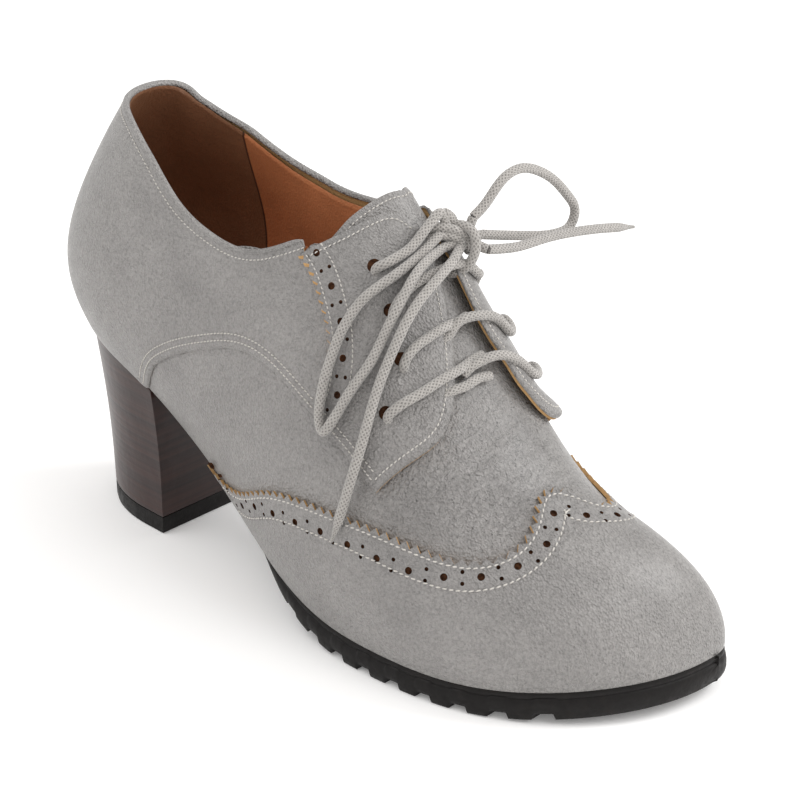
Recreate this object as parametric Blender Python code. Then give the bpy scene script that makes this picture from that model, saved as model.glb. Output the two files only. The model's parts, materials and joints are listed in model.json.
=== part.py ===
"""Right shoe with a block heel, lace flaps and a winged toe cap, stood on its sole.

Metres. The toe points to +X, the inner side to +Y and up is +Z. The origin is in the middle of the
heel's ground face. Every leather piece is read from one skin, the last's own surface:
skin(x, around, grow), where x is the station along the shoe, around runs from -1 at the outer
feather edge over 0 at the ridge to +1 at the inner feather edge, and grow is the distance that the
surface stands off the last.
"""
import bmesh
import bpy
import numpy as np

# Driving sizes of the last
LAST_LENGTH = 0.254          # back of the seat to the toe tip, along the floor
SEAT_BACK = 0.033            # middle of the heel to the back of the seat
BALL_WIDTH = 0.080           # feather edge to feather edge at the ball
HEEL_HEIGHT = 0.068          # floor to the back of the seat
FOREPART_HEIGHT = 0.009      # floor to the feather edge at the ball
TOE_SPRING = 0.005           # rise of the feather edge at the tip
TOE_SWING = 0.022            # shift of the tip to the inner side
INSTEP_HEIGHT = 0.117        # ridge above the feather edge, three fifths along
COLLAR_HEIGHT = 0.152        # floor to the top of the collar at the back
BACK_LEAN = 0.014            # forward lean of the counter
BACK_HOOK = 0.020            # further forward curl of the counter near the collar

# Driving sizes of the pieces
WALL = 0.0018                # upper with its lining
LEATHER = 0.0010             # one overlaid leather
CLEAR = 0.0003               # gap between pieces that meet
BED = 0.00045                # gap under an overlaid leather, a little more for the flat facets
INSOLE_THICKNESS = 0.0018
WAIST_THICKNESS = 0.0035     # outsole at the waist
LIP = 0.0025                 # outsole beyond the feather edge
LUG_PITCH = 0.012
LUG_LENGTH = 0.006
LUG_DEPTH = 0.0014
SIDE_STEP = 0.0009           # how far the outsole's top edge is drawn in
TAP_HEIGHT = 0.006
HEEL_TOP_LENGTH = 0.051      # breast to back under the seat
HEEL_FOOT_LENGTH = 0.045     # breast to back on the floor
HEEL_FOOT_WIDTH = 0.052
HEEL_WAIST = 0.0012          # how far the heel's sides are drawn in half way up
BREAST_FOOT = 0.020          # heel's front on the floor, from the origin
LACE = 0.0032                # lace diameter
KNOT_SIZE = (0.0105, 0.0125, 0.0095)

PANEL_ROWS = 9               # rows of points in a lace flap and a quarter
CORD_STEP = 2.8              # lace diameters between the points of a free lace

TOE_TIP = LAST_LENGTH - SEAT_BACK
LEAN_REACH = 1.066 * COLLAR_HEIGHT
HALF_GIRTH = 0.85 * BALL_WIDTH       # feather edge to ridge over the instep, roughly

# along: share of LAST_LENGTH.  fall: share of the drop from heel to ball.  spring: share of TOE_SPRING.
# outer, inner, bulge, offset: shares of BALL_WIDTH.  ridge: share of INSTEP_HEIGHT, and behind the
# ankle the height at which the section would close.  shoulder: fullness of the section.
STATION_COLUMNS = ("along", "fall", "spring", "outer", "inner", "ridge", "shoulder", "bulge", "offset")
STATIONS = (
    (0.000, 1.000, 0.0, 0.338, 0.325, 5.98, 1.35, 0.119, 0.000),
    (0.130, 0.907, 0.0, 0.344, 0.325, 4.27, 1.35, 0.094, 0.006),
    (0.248, 0.695, 0.0, 0.356, 0.313, 2.86, 1.35, 0.088, 0.019),
    (0.366, 0.407, 0.0, 0.388, 0.300, 1.855, 1.40, 0.088, 0.038),
    (0.484, 0.144, 0.0, 0.463, 0.350, 1.256, 1.70, 0.075, 0.063),
    (0.583, 0.025, 0.0, 0.525, 0.413, 1.000, 2.00, 0.050, 0.081),
    (0.681, 0.000, 0.0, 0.569, 0.438, 0.718, 2.20, 0.031, 0.081),
    (0.780, 0.000, 0.0, 0.594, 0.400, 0.462, 2.25, 0.019, 0.081),
    (0.878, 0.000, 0.3, 0.606, 0.363, 0.333, 2.30, 0.013, 0.131),
    (1.000, 0.000, 1.0, 0.588, 0.313, 0.265, 2.40, 0.006, 0.275),
)
HEEL_CLOSING = 0.161         # the plan starts to close to the seat's back here, share of LAST_LENGTH
TOE_CLOSING = 0.720          # and to the tip here
TOE_DROP = 0.858             # the ridge starts to drop to the tip here
SWING_START = 0.484

# Collar height by station, shares of LAST_LENGTH and COLLAR_HEIGHT
COLLAR = (
    # along, outer, inner
    (0.000, 1.000, 1.000),
    (0.090, 0.975, 0.975),
    (0.170, 0.915, 0.895),
    (0.248, 0.836, 0.855),
    (0.327, 0.789, 0.838),
    (0.406, 0.783, 0.832),
    (0.480, 0.835, 0.835),
)
# Throat of the upper: along, and how far up the section, from the collar's front to the slot's end
THROAT = ((0.480, 0.545), (0.504, 0.595), (0.524, 0.655), (0.551, 0.715), (0.583, 0.765), (0.610, 0.820),
          (0.630, 0.900), (0.638, 1.000))
# Outlines drawn on the skin, as along and height up the section, 0 at the feather edge, 1 at the ridge
TONGUE_TOP = ((0.489, 0.580), (0.504, 0.622), (0.516, 0.700), (0.528, 0.800), (0.536, 0.900), (0.541, 1.000))
QUARTER_SEAM = ((0.661, 0.361), (0.582, 0.360), (0.532, 0.358), (0.480, 0.345), (0.420, 0.300),
                (0.342, 0.214), (0.260, 0.116), (0.220, 0.055), (0.198, 0.000))
FLAP_REAR = ((0.478, 0.527), (0.505, 0.531), (0.524, 0.521), (0.547, 0.491), (0.559, 0.423), (0.553, 0.357))
FLAP_TOP_OUTER = ((0.478, 0.535), (0.527, 0.689), (0.547, 0.812), (0.563, 0.914), (0.580, 0.965))
FLAP_FRONT_OUTER = ((0.593, 0.970), (0.628, 0.935), (0.652, 0.900), (0.680, 0.834), (0.702, 0.703),
                    (0.690, 0.531), (0.661, 0.361))
FLAP_TOP_INNER = ((0.478, 0.535), (0.527, 0.680), (0.551, 0.790), (0.575, 0.890), (0.596, 0.965))
FLAP_FRONT_INNER = ((0.610, 0.980), (0.654, 0.985), (0.674, 0.970), (0.693, 0.940), (0.711, 0.915),
                    (0.729, 0.820), (0.727, 0.640), (0.700, 0.480), (0.675, 0.361))
# Rear edge of the toe cap, along and around
WING_EDGE = ((0.327, -1.000), (0.425, -0.900), (0.500, -0.820), (0.609, -0.758), (0.682, -0.695), (0.749, -0.603),
             (0.795, -0.493), (0.816, -0.363), (0.811, -0.208), (0.795, -0.054), (0.811, 0.050), (0.832, 0.150),
             (0.824, 0.300), (0.790, 0.430), (0.735, 0.550), (0.660, 0.680), (0.560, 0.790), (0.440, 0.900),
             (0.327, 1.000))
# Outsole: along, share of the full forepart thickness, share of LIP
SOLE_EDGE = ((0.205, 0.00, -1.20), (0.366, 0.00, -1.20), (0.430, 0.20, -0.60), (0.485, 0.50, 0.40),
             (0.545, 0.85, 0.90), (0.610, 1.00, 1.00), (1.000, 1.00, 1.00))
# Eyelets from the top down: along and height up the section, on the outer and on the inner flap
EYELETS_OUTER = ((0.568, 0.735), (0.603, 0.719), (0.634, 0.673), (0.643, 0.533))
EYELETS_INNER = ((0.576, 0.735), (0.611, 0.725), (0.644, 0.690), (0.665, 0.570))

# The tied part of the lace: the knot's middle, and the routes of what leaves it, chosen by hand
KNOT_AT = (0.1240, 0.0140, 0.1272)
KNOT_LEGS = ((0.0012, 0.0080), (0.0004, 0.0120))     # outer and inner: bow forward, height over the flap
LOOP_OUTER = (
    (0.1206, 0.0062, 0.1302), (0.1210, 0.0012, 0.1282), (0.1209, -0.0040, 0.1258), (0.1204, -0.0098, 0.1234),
    (0.1180, -0.0172, 0.1196), (0.1153, -0.0222, 0.1157), (0.1134, -0.0261, 0.1108), (0.1122, -0.0297, 0.1050),
    (0.1116, -0.0330, 0.0980), (0.1113, -0.0357, 0.0915), (0.1116, -0.0379, 0.0850), (0.1130, -0.0397, 0.0795),
    (0.1155, -0.0407, 0.0772), (0.1178, -0.0400, 0.0800), (0.1194, -0.0371, 0.0850), (0.1208, -0.0344, 0.0898),
    (0.1228, -0.0310, 0.0952), (0.1242, -0.0275, 0.1002), (0.1245, -0.0237, 0.1053), (0.1254, -0.0208, 0.1107),
    (0.1260, -0.0161, 0.1172), (0.1253, -0.0099, 0.1225), (0.1237, -0.0018, 0.1252), (0.1222, 0.0056, 0.1262),
)
END_OUTER = (
    (0.1278, 0.0046, 0.1240), (0.1295, -0.0037, 0.1212), (0.1298, -0.0119, 0.1169), (0.1297, -0.0186, 0.1108),
    (0.1290, -0.0229, 0.1039), (0.1284, -0.0257, 0.0987), (0.1286, -0.0290, 0.0939), (0.1290, -0.0326, 0.0878),
    (0.1293, -0.0371, 0.0779), (0.1289, -0.0413, 0.0675), (0.1268, -0.0441, 0.0554), (0.1244, -0.0464, 0.0443),
)
LOOP_INNER = (
    (0.1246, 0.0172, 0.1340), (0.1255, 0.0213, 0.1370), (0.1260, 0.0252, 0.1408), (0.1260, 0.0306, 0.1442),
    (0.1260, 0.0380, 0.1450), (0.1260, 0.0455, 0.1425), (0.1260, 0.0548, 0.1365), (0.1260, 0.0622, 0.1291),
    (0.1260, 0.0656, 0.1232), (0.1259, 0.0638, 0.1190), (0.1257, 0.0580, 0.1178), (0.1252, 0.0443, 0.1204),
    (0.1242, 0.0310, 0.1240), (0.1238, 0.0222, 0.1266),
)
END_INNER = (
    (0.1300, 0.0180, 0.1244), (0.1306, 0.0245, 0.1230), (0.1310, 0.0314, 0.1218), (0.1310, 0.0419, 0.1211),
    (0.1310, 0.0563, 0.1195), (0.1310, 0.0749, 0.1160), (0.1310, 0.0912, 0.1120),
)


def natural_spline(knots, values):
    """Smooth curve through the values: cubic pieces with equal slope and bend where they meet."""
    knots = np.asarray(knots, float)
    values = np.asarray(values, float)
    step = np.diff(knots)
    count = len(knots)
    system = np.eye(count)
    right = np.zeros(count)
    for i in range(1, count - 1):
        system[i, i - 1] = step[i - 1]
        system[i, i] = 2 * (step[i - 1] + step[i])
        system[i, i + 1] = step[i]
        right[i] = 3 * ((values[i + 1] - values[i]) / step[i] - (values[i] - values[i - 1]) / step[i - 1])
    bend = np.linalg.solve(system, right)

    def curve(x):
        x = np.asarray(x, float)
        i = np.clip(np.searchsorted(knots, x, side="right") - 1, 0, count - 2)
        t = x - knots[i]
        slope = (values[i + 1] - values[i]) / step[i] - step[i] * (2 * bend[i] + bend[i + 1]) / 3
        return values[i] + t * (slope + t * (bend[i] + t * (bend[i + 1] - bend[i]) / (3 * step[i])))

    return curve


def column_splines(rows, names):
    """One smooth curve for each column of a table, over its first column."""
    table = np.array(rows, float)
    return {name: natural_spline(table[:, 0], table[:, i]) for i, name in enumerate(names) if i}


SECTION = column_splines(STATIONS, STATION_COLUMNS)
COLLAR_LINE = column_splines(COLLAR, ("along", "outer", "inner"))
SOLE_LINE = column_splines(SOLE_EDGE, ("along", "thickness", "lip"))


def place(along):
    """Station in metres from its share of the last's length."""
    return np.asarray(along, float) * LAST_LENGTH - SEAT_BACK


def share(x):
    """Share of the last's length at a station in metres."""
    return (np.asarray(x, float) + SEAT_BACK) / LAST_LENGTH


def closing(x, tip, start, power):
    """1 as far as start, then down to 0 at tip along a superellipse."""
    t = np.clip((x - start) / (tip - start), 0, 1)
    return (1 - t ** power) ** (1 / power)


def ease(t):
    t = np.clip(t, 0, 1)
    return t * t * (3 - 2 * t)


def floor_line(x):
    """Height of the feather edge: heel, drop to the ball, toe spring."""
    drop = HEEL_HEIGHT - FOREPART_HEIGHT
    return FOREPART_HEIGHT + drop * SECTION["fall"](share(x)) + TOE_SPRING * SECTION["spring"](share(x))


def swing(x):
    """Shift of the last's middle line to the inner side."""
    return TOE_SWING * np.maximum((share(x) - SWING_START) / (1 - SWING_START), 0) ** 1.8


def feather(side, x, grow=0.0):
    """Plan of the feather edge, y at each station, with side -1 outer and +1 inner."""
    width = BALL_WIDTH * SECTION["outer" if side < 0 else "inner"](share(x)) + grow
    width = width * closing(x, -SEAT_BACK - grow, place(HEEL_CLOSING), 2.1)
    width = width * closing(x, TOE_TIP + grow, place(TOE_CLOSING), 2.25)
    return swing(x) + side * width


def plan_normal(side, x, grow):
    """Outward direction of the feather edge in plan."""
    low, high = -SEAT_BACK - grow, TOE_TIP + grow
    step = 0.00005
    x0 = np.clip(x - step, low, high)
    x1 = np.clip(x + step, low, high)
    dx = x1 - x0
    dy = feather(side, x1, grow) - feather(side, x0, grow)
    length = np.hypot(dx, dy)
    return -side * dy / length, side * dx / length


def ridge_rise(x, grow):
    """Height of the section above the feather edge."""
    step = 0.001
    rise = INSTEP_HEIGHT * SECTION["ridge"](share(x))
    ahead = INSTEP_HEIGHT * SECTION["ridge"](share(x + step)) + floor_line(x + step)
    slope = (ahead - rise - floor_line(x)) / step
    return (rise + grow * np.hypot(1, slope)) * closing(x, TOE_TIP + grow, place(TOE_DROP), 2.0)


def section_height(x, z):
    """How far up the section, 0 to 1, a station reaches the height z."""
    part = np.clip((z - floor_line(x)) / np.maximum(ridge_rise(x, 0.0), 1e-6), 0, 1)
    return np.arcsin(part ** (SECTION["shoulder"](share(x)) / 2)) * 2 / np.pi


def skin(x, around, grow=0.0):
    """Points of the last's surface moved out by grow.

    Each cross section is a superellipse from the feather edge to the ridge. It bulges outwards by a
    sine of its height, and behind the ankle it leans forward with height.
    """
    x, around = np.broadcast_arrays(np.asarray(x, float), np.asarray(around, float))
    points = np.empty(x.shape + (3,))
    for side in (-1, 1):
        here = (around <= 0) if side < 0 else (around > 0)
        xs = x[here]
        angle = (1 - np.abs(around[here])) * np.pi / 2
        power = SECTION["shoulder"](share(xs))
        flat = np.where(angle >= np.pi / 2, 0, np.abs(np.cos(angle)) ** (2 / power))
        rise = ridge_rise(xs, grow)
        base = floor_line(xs)
        z = base + rise * np.abs(np.sin(angle)) ** (2 / power)
        middle = swing(xs)
        ridge_y = BALL_WIDTH * SECTION["offset"](share(xs)) - middle
        ridge_y = middle + ridge_y * closing(xs, TOE_TIP + grow, place(TOE_DROP), 2.0)
        y = ridge_y + (feather(side, xs, grow) - ridge_y) * flat
        reach = LEAN_REACH - base
        span = (np.maximum(rise, 1e-7) ** -6 + reach ** -6) ** (-1 / 6)
        level = np.clip((z - base) / span, 0, 1)
        ahead = 1 - ease(share(xs) / 0.492)
        lean = ahead * (BACK_LEAN * (z - base) / reach + BACK_HOOK * np.maximum((z - base) / reach, 0) ** 3.5)
        bulge = BALL_WIDTH * SECTION["bulge"](share(xs)) * np.sin(np.pi * level * (1.9 - 0.9 * level))
        bulge = bulge * closing(xs, TOE_TIP + grow, place(TOE_CLOSING), 2.25)
        nx, ny = plan_normal(side, xs, grow)
        points[here] = np.stack([xs + lean + bulge * nx, y + bulge * ny, z], -1)
    return points


def stretched(x, grow):
    """Stations of the plain last moved so that they reach the ends of the grown one."""
    middle = 0.5 * (TOE_TIP - SEAT_BACK)
    return middle + (x - middle) * (LAST_LENGTH + 2 * grow) / LAST_LENGTH


def make_material(name, colour, roughness):
    material = bpy.data.materials.new(name)
    material.use_nodes = True
    shader = material.node_tree.nodes["Principled BSDF"]
    shader.inputs["Base Color"].default_value = (*colour, 1.0)
    shader.inputs["Roughness"].default_value = roughness
    shader.inputs["Metallic"].default_value = 0.0
    return material


def add_solid(name, points, faces, material):
    """Object from points and faces, welded and split into triangles, with its faces turned outwards."""
    mesh = bpy.data.meshes.new(name)
    mesh.from_pydata([tuple(p) for p in points], [], faces)
    work = bmesh.new()
    work.from_mesh(mesh)
    bmesh.ops.remove_doubles(work, verts=work.verts, dist=2e-6)
    bmesh.ops.dissolve_degenerate(work, edges=work.edges, dist=1e-7)
    bmesh.ops.recalc_face_normals(work, faces=work.faces)
    if work.calc_volume(signed=True) < 0:
        bmesh.ops.reverse_faces(work, faces=work.faces)
    bmesh.ops.triangulate(work, faces=work.faces)
    work.to_mesh(mesh)
    work.free()
    mesh.shade_smooth()
    mesh.set_sharp_from_angle(angle=np.radians(35))
    mesh.materials.append(material)
    solid = bpy.data.objects.new(name, mesh)
    bpy.context.collection.objects.link(solid)
    return solid


def sheet_solid(name, outer, inner, material, open_top=None, open_ends=True):
    """Solid between two grids of points, columns by rows, walled where its borders are open."""
    columns, rows = outer.shape[:2]
    points = np.concatenate([outer.reshape(-1, 3), inner.reshape(-1, 3)])
    inner_start = columns * rows

    def pair(c0, r0, c1, r1):
        a = c0 * rows + r0
        b = c1 * rows + r1
        return (a, b, b + inner_start, a + inner_start)

    faces = []
    for c in range(columns - 1):
        for r in range(rows - 1):
            a = c * rows + r
            quad = (a, a + rows, a + rows + 1, a + 1)
            faces.append(quad)
            faces.append(tuple(inner_start + i for i in reversed(quad)))
        faces.append(pair(c + 1, 0, c, 0))
        if open_top is None or open_top[c]:
            faces.append(pair(c, rows - 1, c + 1, rows - 1))
    if open_ends:
        for r in range(rows - 1):
            faces.append(pair(0, r, 0, r + 1))
            faces.append(pair(columns - 1, r + 1, columns - 1, r))
    return add_solid(name, points, faces, material)


def last_stations():
    """Stations from tip to seat back: close together at both ends, even between."""
    toe = place(TOE_CLOSING + (1 - TOE_CLOSING) * np.cos(np.linspace(0, np.pi / 2, 14)))
    even = place(np.linspace(TOE_CLOSING, HEEL_CLOSING, 22))
    heel = place(heel_shares())
    stations = np.concatenate([toe, even[1:], heel[1:]])
    throat_end = place(THROAT[-1][0])
    stations = stations[np.abs(stations - throat_end) > 0.002]
    return np.sort(np.append(stations, throat_end))[::-1]


def throat_height(x):
    """How far up the section the upper reaches at its throat."""
    throat = np.array(THROAT)
    return np.interp(share(x), throat[:, 0], throat[:, 1])


def top_height(side, x):
    """How far up the section the upper reaches: collar, throat or ridge."""
    collar = COLLAR_HEIGHT * COLLAR_LINE["outer" if side < 0 else "inner"](share(x))
    behind = section_height(x, collar)
    return np.where(share(x) < THROAT[0][0], behind, throat_height(x))


def around_at(side, height):
    """Around value of a height up the section on one side."""
    return side * (1 - np.asarray(height, float))


def make_upper(material):
    """Hollow wall from the feather edge to the collar, the throat or, in front, the ridge."""
    stations = last_stations()
    throat_end = place(THROAT[-1][0])
    rows = np.linspace(0, 1, 12)
    x = np.concatenate([stations, stations[-2::-1]])
    side = np.concatenate([-np.ones(len(stations)), np.ones(len(stations) - 1)])
    top = np.where(side < 0, top_height(-1, x), top_height(1, x))
    around = side[:, None] * (1 - top[:, None] * rows[None, :])
    around = np.where((np.abs(around) < 1e-9), 0.0, around)
    across = np.repeat(x[:, None], len(rows), 1)
    outer = skin(across, around, 0.0)
    inner = skin(stretched(across, -WALL), around, -WALL)
    is_open = (x[:-1] <= throat_end + 1e-9) & (x[1:] <= throat_end + 1e-9)
    return sheet_solid("upper", outer, inner, material, open_top=is_open, open_ends=False)


def smooth_path(rows, count):
    """Points at even spacing on a smooth curve through hand-chosen rows of along and around."""
    table = np.array(rows, float)
    stride = np.hypot(np.diff(table[:, 0]) * LAST_LENGTH, np.diff(table[:, 1]) * HALF_GIRTH)
    run = np.concatenate([[0], np.cumsum(stride)])
    at = np.linspace(0, run[-1], count)
    return np.stack([natural_spline(run, table[:, 0])(at), natural_spline(run, table[:, 1])(at)], -1)


def moved_forward(path, distance):
    """Path on the skin moved towards the toe, square to itself."""
    scale = np.array([LAST_LENGTH, HALF_GIRTH])
    ahead = np.gradient(path * scale, axis=0)
    square = np.stack([ahead[:, 1], -ahead[:, 0]], -1) / np.linalg.norm(ahead, axis=1)[:, None]
    square = square * np.sign(square[len(path) // 2, 0])
    return path + distance * square / scale


def chained(parts):
    """Join paths that share their end points."""
    return np.concatenate([parts[0]] + [part[1:] for part in parts[1:]])


def raised(side, rows):
    """Rows of along and height up the section turned into along and around."""
    table = np.array(rows, float)
    return np.stack([table[:, 0], around_at(side, table[:, 1])], -1)


def patch(lower, upper, start, stop, crowd=1.0):
    """Grid of along and around inside four edges: blended from each pair, less the corners' share."""
    t = np.linspace(0, 1, len(lower))[:, None, None]
    s = (np.linspace(0, 1, len(start)) ** crowd)[None, :, None]
    across = (1 - s) * lower[:, None, :] + s * upper[:, None, :]
    lengthways = (1 - t) * start[None, :, :] + t * stop[None, :, :]
    corners = (1 - t) * ((1 - s) * lower[0] + s * upper[0]) + t * ((1 - s) * lower[-1] + s * upper[-1])
    return across + lengthways - corners


def panel(name, grid, near, far, material):
    """Leather over a grid of along and around, from near to far off the last."""
    x = place(grid[..., 0])
    around = np.clip(grid[..., 1], -1, 1)
    outer = skin(stretched(x, far), around, far)
    inner = skin(stretched(x, near), around, near)
    return sheet_solid(name, outer, inner, material)


def straight(start, stop, count, crowd=1.0):
    return start + (stop - start) * (np.linspace(0, 1, count) ** crowd)[:, None]


def heel_shares(count=12):
    """Stations round the heel's back, close together where the plan turns."""
    return HEEL_CLOSING * (1 - np.sin(np.linspace(0, np.pi / 2, count)))


def collar_path(side, along):
    """Collar edge at the given shares of the length, as along and around."""
    return np.stack([along, around_at(side, top_height(side, place(along)))], -1)


def flap_rear(side):
    """Rear edge of a lace flap from the seam up to the collar."""
    edge = smooth_path(raised(side, FLAP_REAR[::-1]), PANEL_ROWS)
    edge[-1] = collar_path(side, edge[-1:, 0])[0]
    return edge


def quarter_grid(side):
    """Half of the rear leather, from the lace flap to the heel's back."""
    front = flap_rear(side)
    seam_rows = [row for row in QUARTER_SEAM if row[0] < FLAP_REAR[-1][0] - 0.01]
    seam = smooth_path(np.concatenate([front[:1], raised(side, seam_rows)]), 17)
    heel = heel_shares()
    lower = np.concatenate([seam, np.stack([heel, np.full(len(heel), float(side))], -1)])
    collar = np.concatenate([np.linspace(front[-1, 0], heel[0], len(seam) + 1)[:-1], heel])
    upper = collar_path(side, collar)
    return patch(lower, upper, front, straight(lower[-1], upper[-1], PANEL_ROWS))


def make_quarters(material):
    """Rear leather from one lace flap round the heel to the other."""
    outer = quarter_grid(-1)
    inner = quarter_grid(1)
    return panel("quarters", np.concatenate([outer, inner[-2::-1]]), BED, BED + LEATHER, material)


def make_facing(name, side, top, front, material):
    """Lace flap from its pinked rear edge to the throat, down to its free tip."""
    rear = moved_forward(flap_rear(side), 1.3 * CLEAR)
    seam_rows = [row for row in QUARTER_SEAM[::-1] if FLAP_REAR[-1][0] + 0.01 < row[0] < front[-1][0] - 0.02]
    lower = smooth_path(np.concatenate([rear[:1], raised(side, tuple(seam_rows) + front[-1:])]), 17)
    upper = chained([smooth_path(np.concatenate([rear[-1:], raised(side, top[1:] + front[:1])]), 8),
                     smooth_path(raised(side, front), 10)])
    tip = straight(lower[-1], upper[-1], PANEL_ROWS)
    return panel(name, patch(lower, upper, rear, tip), BED, BED + 2 * LEATHER, material)


def make_wing_cap(material):
    """Toe cap: a sheet between the feather edge round the toe and the winged rear edge."""
    half, round_tip, rows = 18, 17, 10
    edge = smooth_path(WING_EDGE, 2 * half + round_tip - 2)
    start = WING_EDGE[0][0]
    run = start + (1 - start) * np.sin(np.linspace(0, np.pi / 2, half))
    outer_side = np.stack([run, np.full(half, -1.0)], -1)
    tip = np.stack([np.ones(round_tip), np.linspace(-1, 1, round_tip)], -1)
    inner_side = np.stack([run[::-1], np.full(half, 1.0)], -1)
    foot = chained([outer_side, tip, inner_side])
    crowd = 2.0
    grid = patch(foot, edge, straight(foot[0], edge[0], rows, crowd), straight(foot[-1], edge[-1], rows, crowd), crowd)
    return panel("wing_cap", grid, BED, BED + LEATHER, material)


def make_tongue(material):
    """Tongue just under the upper's wall, filling the throat and rising above the collar."""
    stations = last_stations()
    slot_x = stations[(stations <= place(THROAT[-1][0])) & (stations > place(TONGUE_TOP[0][0]))][::-1]
    slot = np.stack([share(slot_x), 1 - throat_height(slot_x)], -1)
    slot[:, 0] = slot[:, 0] - 1.5 * CLEAR / LAST_LENGTH
    slot[:, 1] = np.maximum(slot[:, 1] - 1.5 * CLEAR / HALF_GIRTH, 0)
    top = np.array(TONGUE_TOP)
    top = smooth_path(np.stack([top[:, 0], 1 - top[:, 1]], -1), len(slot))
    mirror = np.array([1.0, -1.0])
    lower = np.concatenate([slot * mirror, slot[-2::-1]])
    upper = np.concatenate([top * mirror, top[-2::-1]])
    grid = patch(lower, upper, straight(lower[0], upper[0], 5), straight(lower[-1], upper[-1], 5))
    return panel("tongue", grid, -WALL - CLEAR, -CLEAR, material)


def loft(name, rings, material):
    """Closed solid through rings with equal point counts, its end rings filled."""
    count = len(rings[0])
    points = np.concatenate(rings)
    faces = []
    for i in range(len(rings) - 1):
        for j in range(count):
            a = i * count + j
            b = i * count + (j + 1) % count
            faces.append((a, b, b + count, a + count))
    faces.append(tuple(range(count))[::-1])
    faces.append(tuple((len(rings) - 1) * count + j for j in range(count)))
    return add_solid(name, points, faces, material)


def sole_ring(x, cut):
    """Cross section of the outsole at a station, cut up by a groove's depth."""
    line = share(x)
    lip = LIP * SOLE_LINE["lip"](line)
    full = FOREPART_HEIGHT - WAIST_THICKNESS
    thick = WAIST_THICKNESS + full * np.clip(SOLE_LINE["thickness"](line), 0, 1)
    top = floor_line(x) - CLEAR
    bottom = np.maximum(floor_line(x) - thick - CLEAR, 0.0)
    root = bottom + LUG_DEPTH * np.clip(SOLE_LINE["thickness"](line), 0, 1) ** 2
    under = root if cut else bottom
    shoulder = top - 0.25 * (top - bottom)
    ring = []
    for side in (-1, 1):
        edge = feather(side, min(x, TOE_TIP - 1e-6) if lip < 0 else x, lip)
        inset = feather(side, x, lip - SIDE_STEP) if x < TOE_TIP + lip - SIDE_STEP else edge
        ring.append([(x, inset, top), (x, edge, shoulder), (x, edge, root), (x, edge, under)])
    return np.array(ring[0] + ring[1][::-1])


def make_outsole(material):
    """Lugged forepart and thin waist, from the heel's front to beyond the toe."""
    start = place(0.207)
    stop = TOE_TIP + LIP
    stations = list(np.linspace(start, place(0.485), 11))[:-1]
    cuts = [False] * len(stations)
    x = place(0.485)
    while x < place(0.93):
        for at, cut in ((x, False), (x + LUG_LENGTH, False), (x + LUG_LENGTH, True), (x + LUG_PITCH, True)):
            stations.append(at)
            cuts.append(cut)
        x = x + LUG_PITCH
    tip = x + (stop - x) * np.sin(np.linspace(0, np.pi / 2, 9))
    stations.extend(tip)
    cuts.extend([False] * len(tip))
    return loft("outsole", [sole_ring(s, c) for s, c in zip(stations, cuts)], material)


def make_insole(material):
    """Thin board on the feather line inside the upper."""
    draw_in = WALL + 2 * CLEAR
    x0, x1 = -SEAT_BACK + draw_in, TOE_TIP - draw_in
    turn = np.linspace(0, np.pi, 36)
    rings = []
    for x in x0 + (x1 - x0) * (1 - np.cos(turn)) / 2:
        low = floor_line(x)
        outer, inner = feather(-1, x, -draw_in), feather(1, x, -draw_in)
        rings.append(np.array([(x, outer, low), (x, inner, low), (x, inner, low + INSOLE_THICKNESS),
                               (x, outer, low + INSOLE_THICKNESS)]))
    return loft("insole", rings, material)


def heel_ring(level):
    """Plan ring of the heel at a level from 0 on the floor to 1 under the seat: round back, flat front.

    The points hold the plan of the seat, shrunk towards the heel's front as the level falls.
    """
    turn = np.linspace(-np.pi / 2, np.pi / 2, 21)
    top_front = HEEL_TOP_LENGTH - SEAT_BACK
    length = HEEL_FOOT_LENGTH + (HEEL_TOP_LENGTH - HEEL_FOOT_LENGTH) * level
    front = BREAST_FOOT + (top_front - BREAST_FOOT) * level
    x_top = top_front - HEEL_TOP_LENGTH * np.cos(turn)
    width_top = feather(1, place(HEEL_CLOSING)) - feather(-1, place(HEEL_CLOSING))
    widen = (HEEL_FOOT_WIDTH + (width_top - HEEL_FOOT_WIDTH) * level) / width_top
    waist = HEEL_WAIST * np.sin(np.pi * level)
    y_top = np.where(turn < 0, feather(-1, np.maximum(x_top, -SEAT_BACK)), feather(1, np.maximum(x_top, -SEAT_BACK)))
    x = front - (length - waist) * np.cos(turn)
    y = y_top * widen * (1 - 2 * waist / width_top)
    return x, y, x_top


def heel_solid(name, low, high, material):
    """Part of the heel between two heights on the floor, or up to the sloping seat."""
    rings = []
    seat_front = floor_line(HEEL_TOP_LENGTH - SEAT_BACK)
    for step in np.linspace(0, 1, 2 if high else 6):
        if high:
            height = low + (high - low) * step
            x, y, x_top = heel_ring(height / seat_front)
            z = np.full(len(x), height)
        else:
            x, y, x_top = heel_ring(low / seat_front * (1 - step) + step)
            z = low + (floor_line(x_top) - CLEAR - low) * step
        rings.append(np.stack([x, y, z], -1))
    return loft(name, rings, material)


def tube_mesh(path, radius, sides=8):
    """Points and faces of a round tube along a path, with flat ends."""
    path = np.asarray(path, float)
    ahead = np.gradient(path, axis=0)
    ahead = ahead / np.linalg.norm(ahead, axis=1)[:, None]
    up = np.array([0.0, 0.0, 1.0])
    side = np.cross(ahead, up)
    side = side / np.linalg.norm(side, axis=1)[:, None]
    lift = np.cross(side, ahead)
    turn = np.arange(sides) * 2 * np.pi / sides
    rings = path[:, None, :] + radius * (np.cos(turn)[None, :, None] * side[:, None, :]
                                         + np.sin(turn)[None, :, None] * lift[:, None, :])
    return list(rings)


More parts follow.
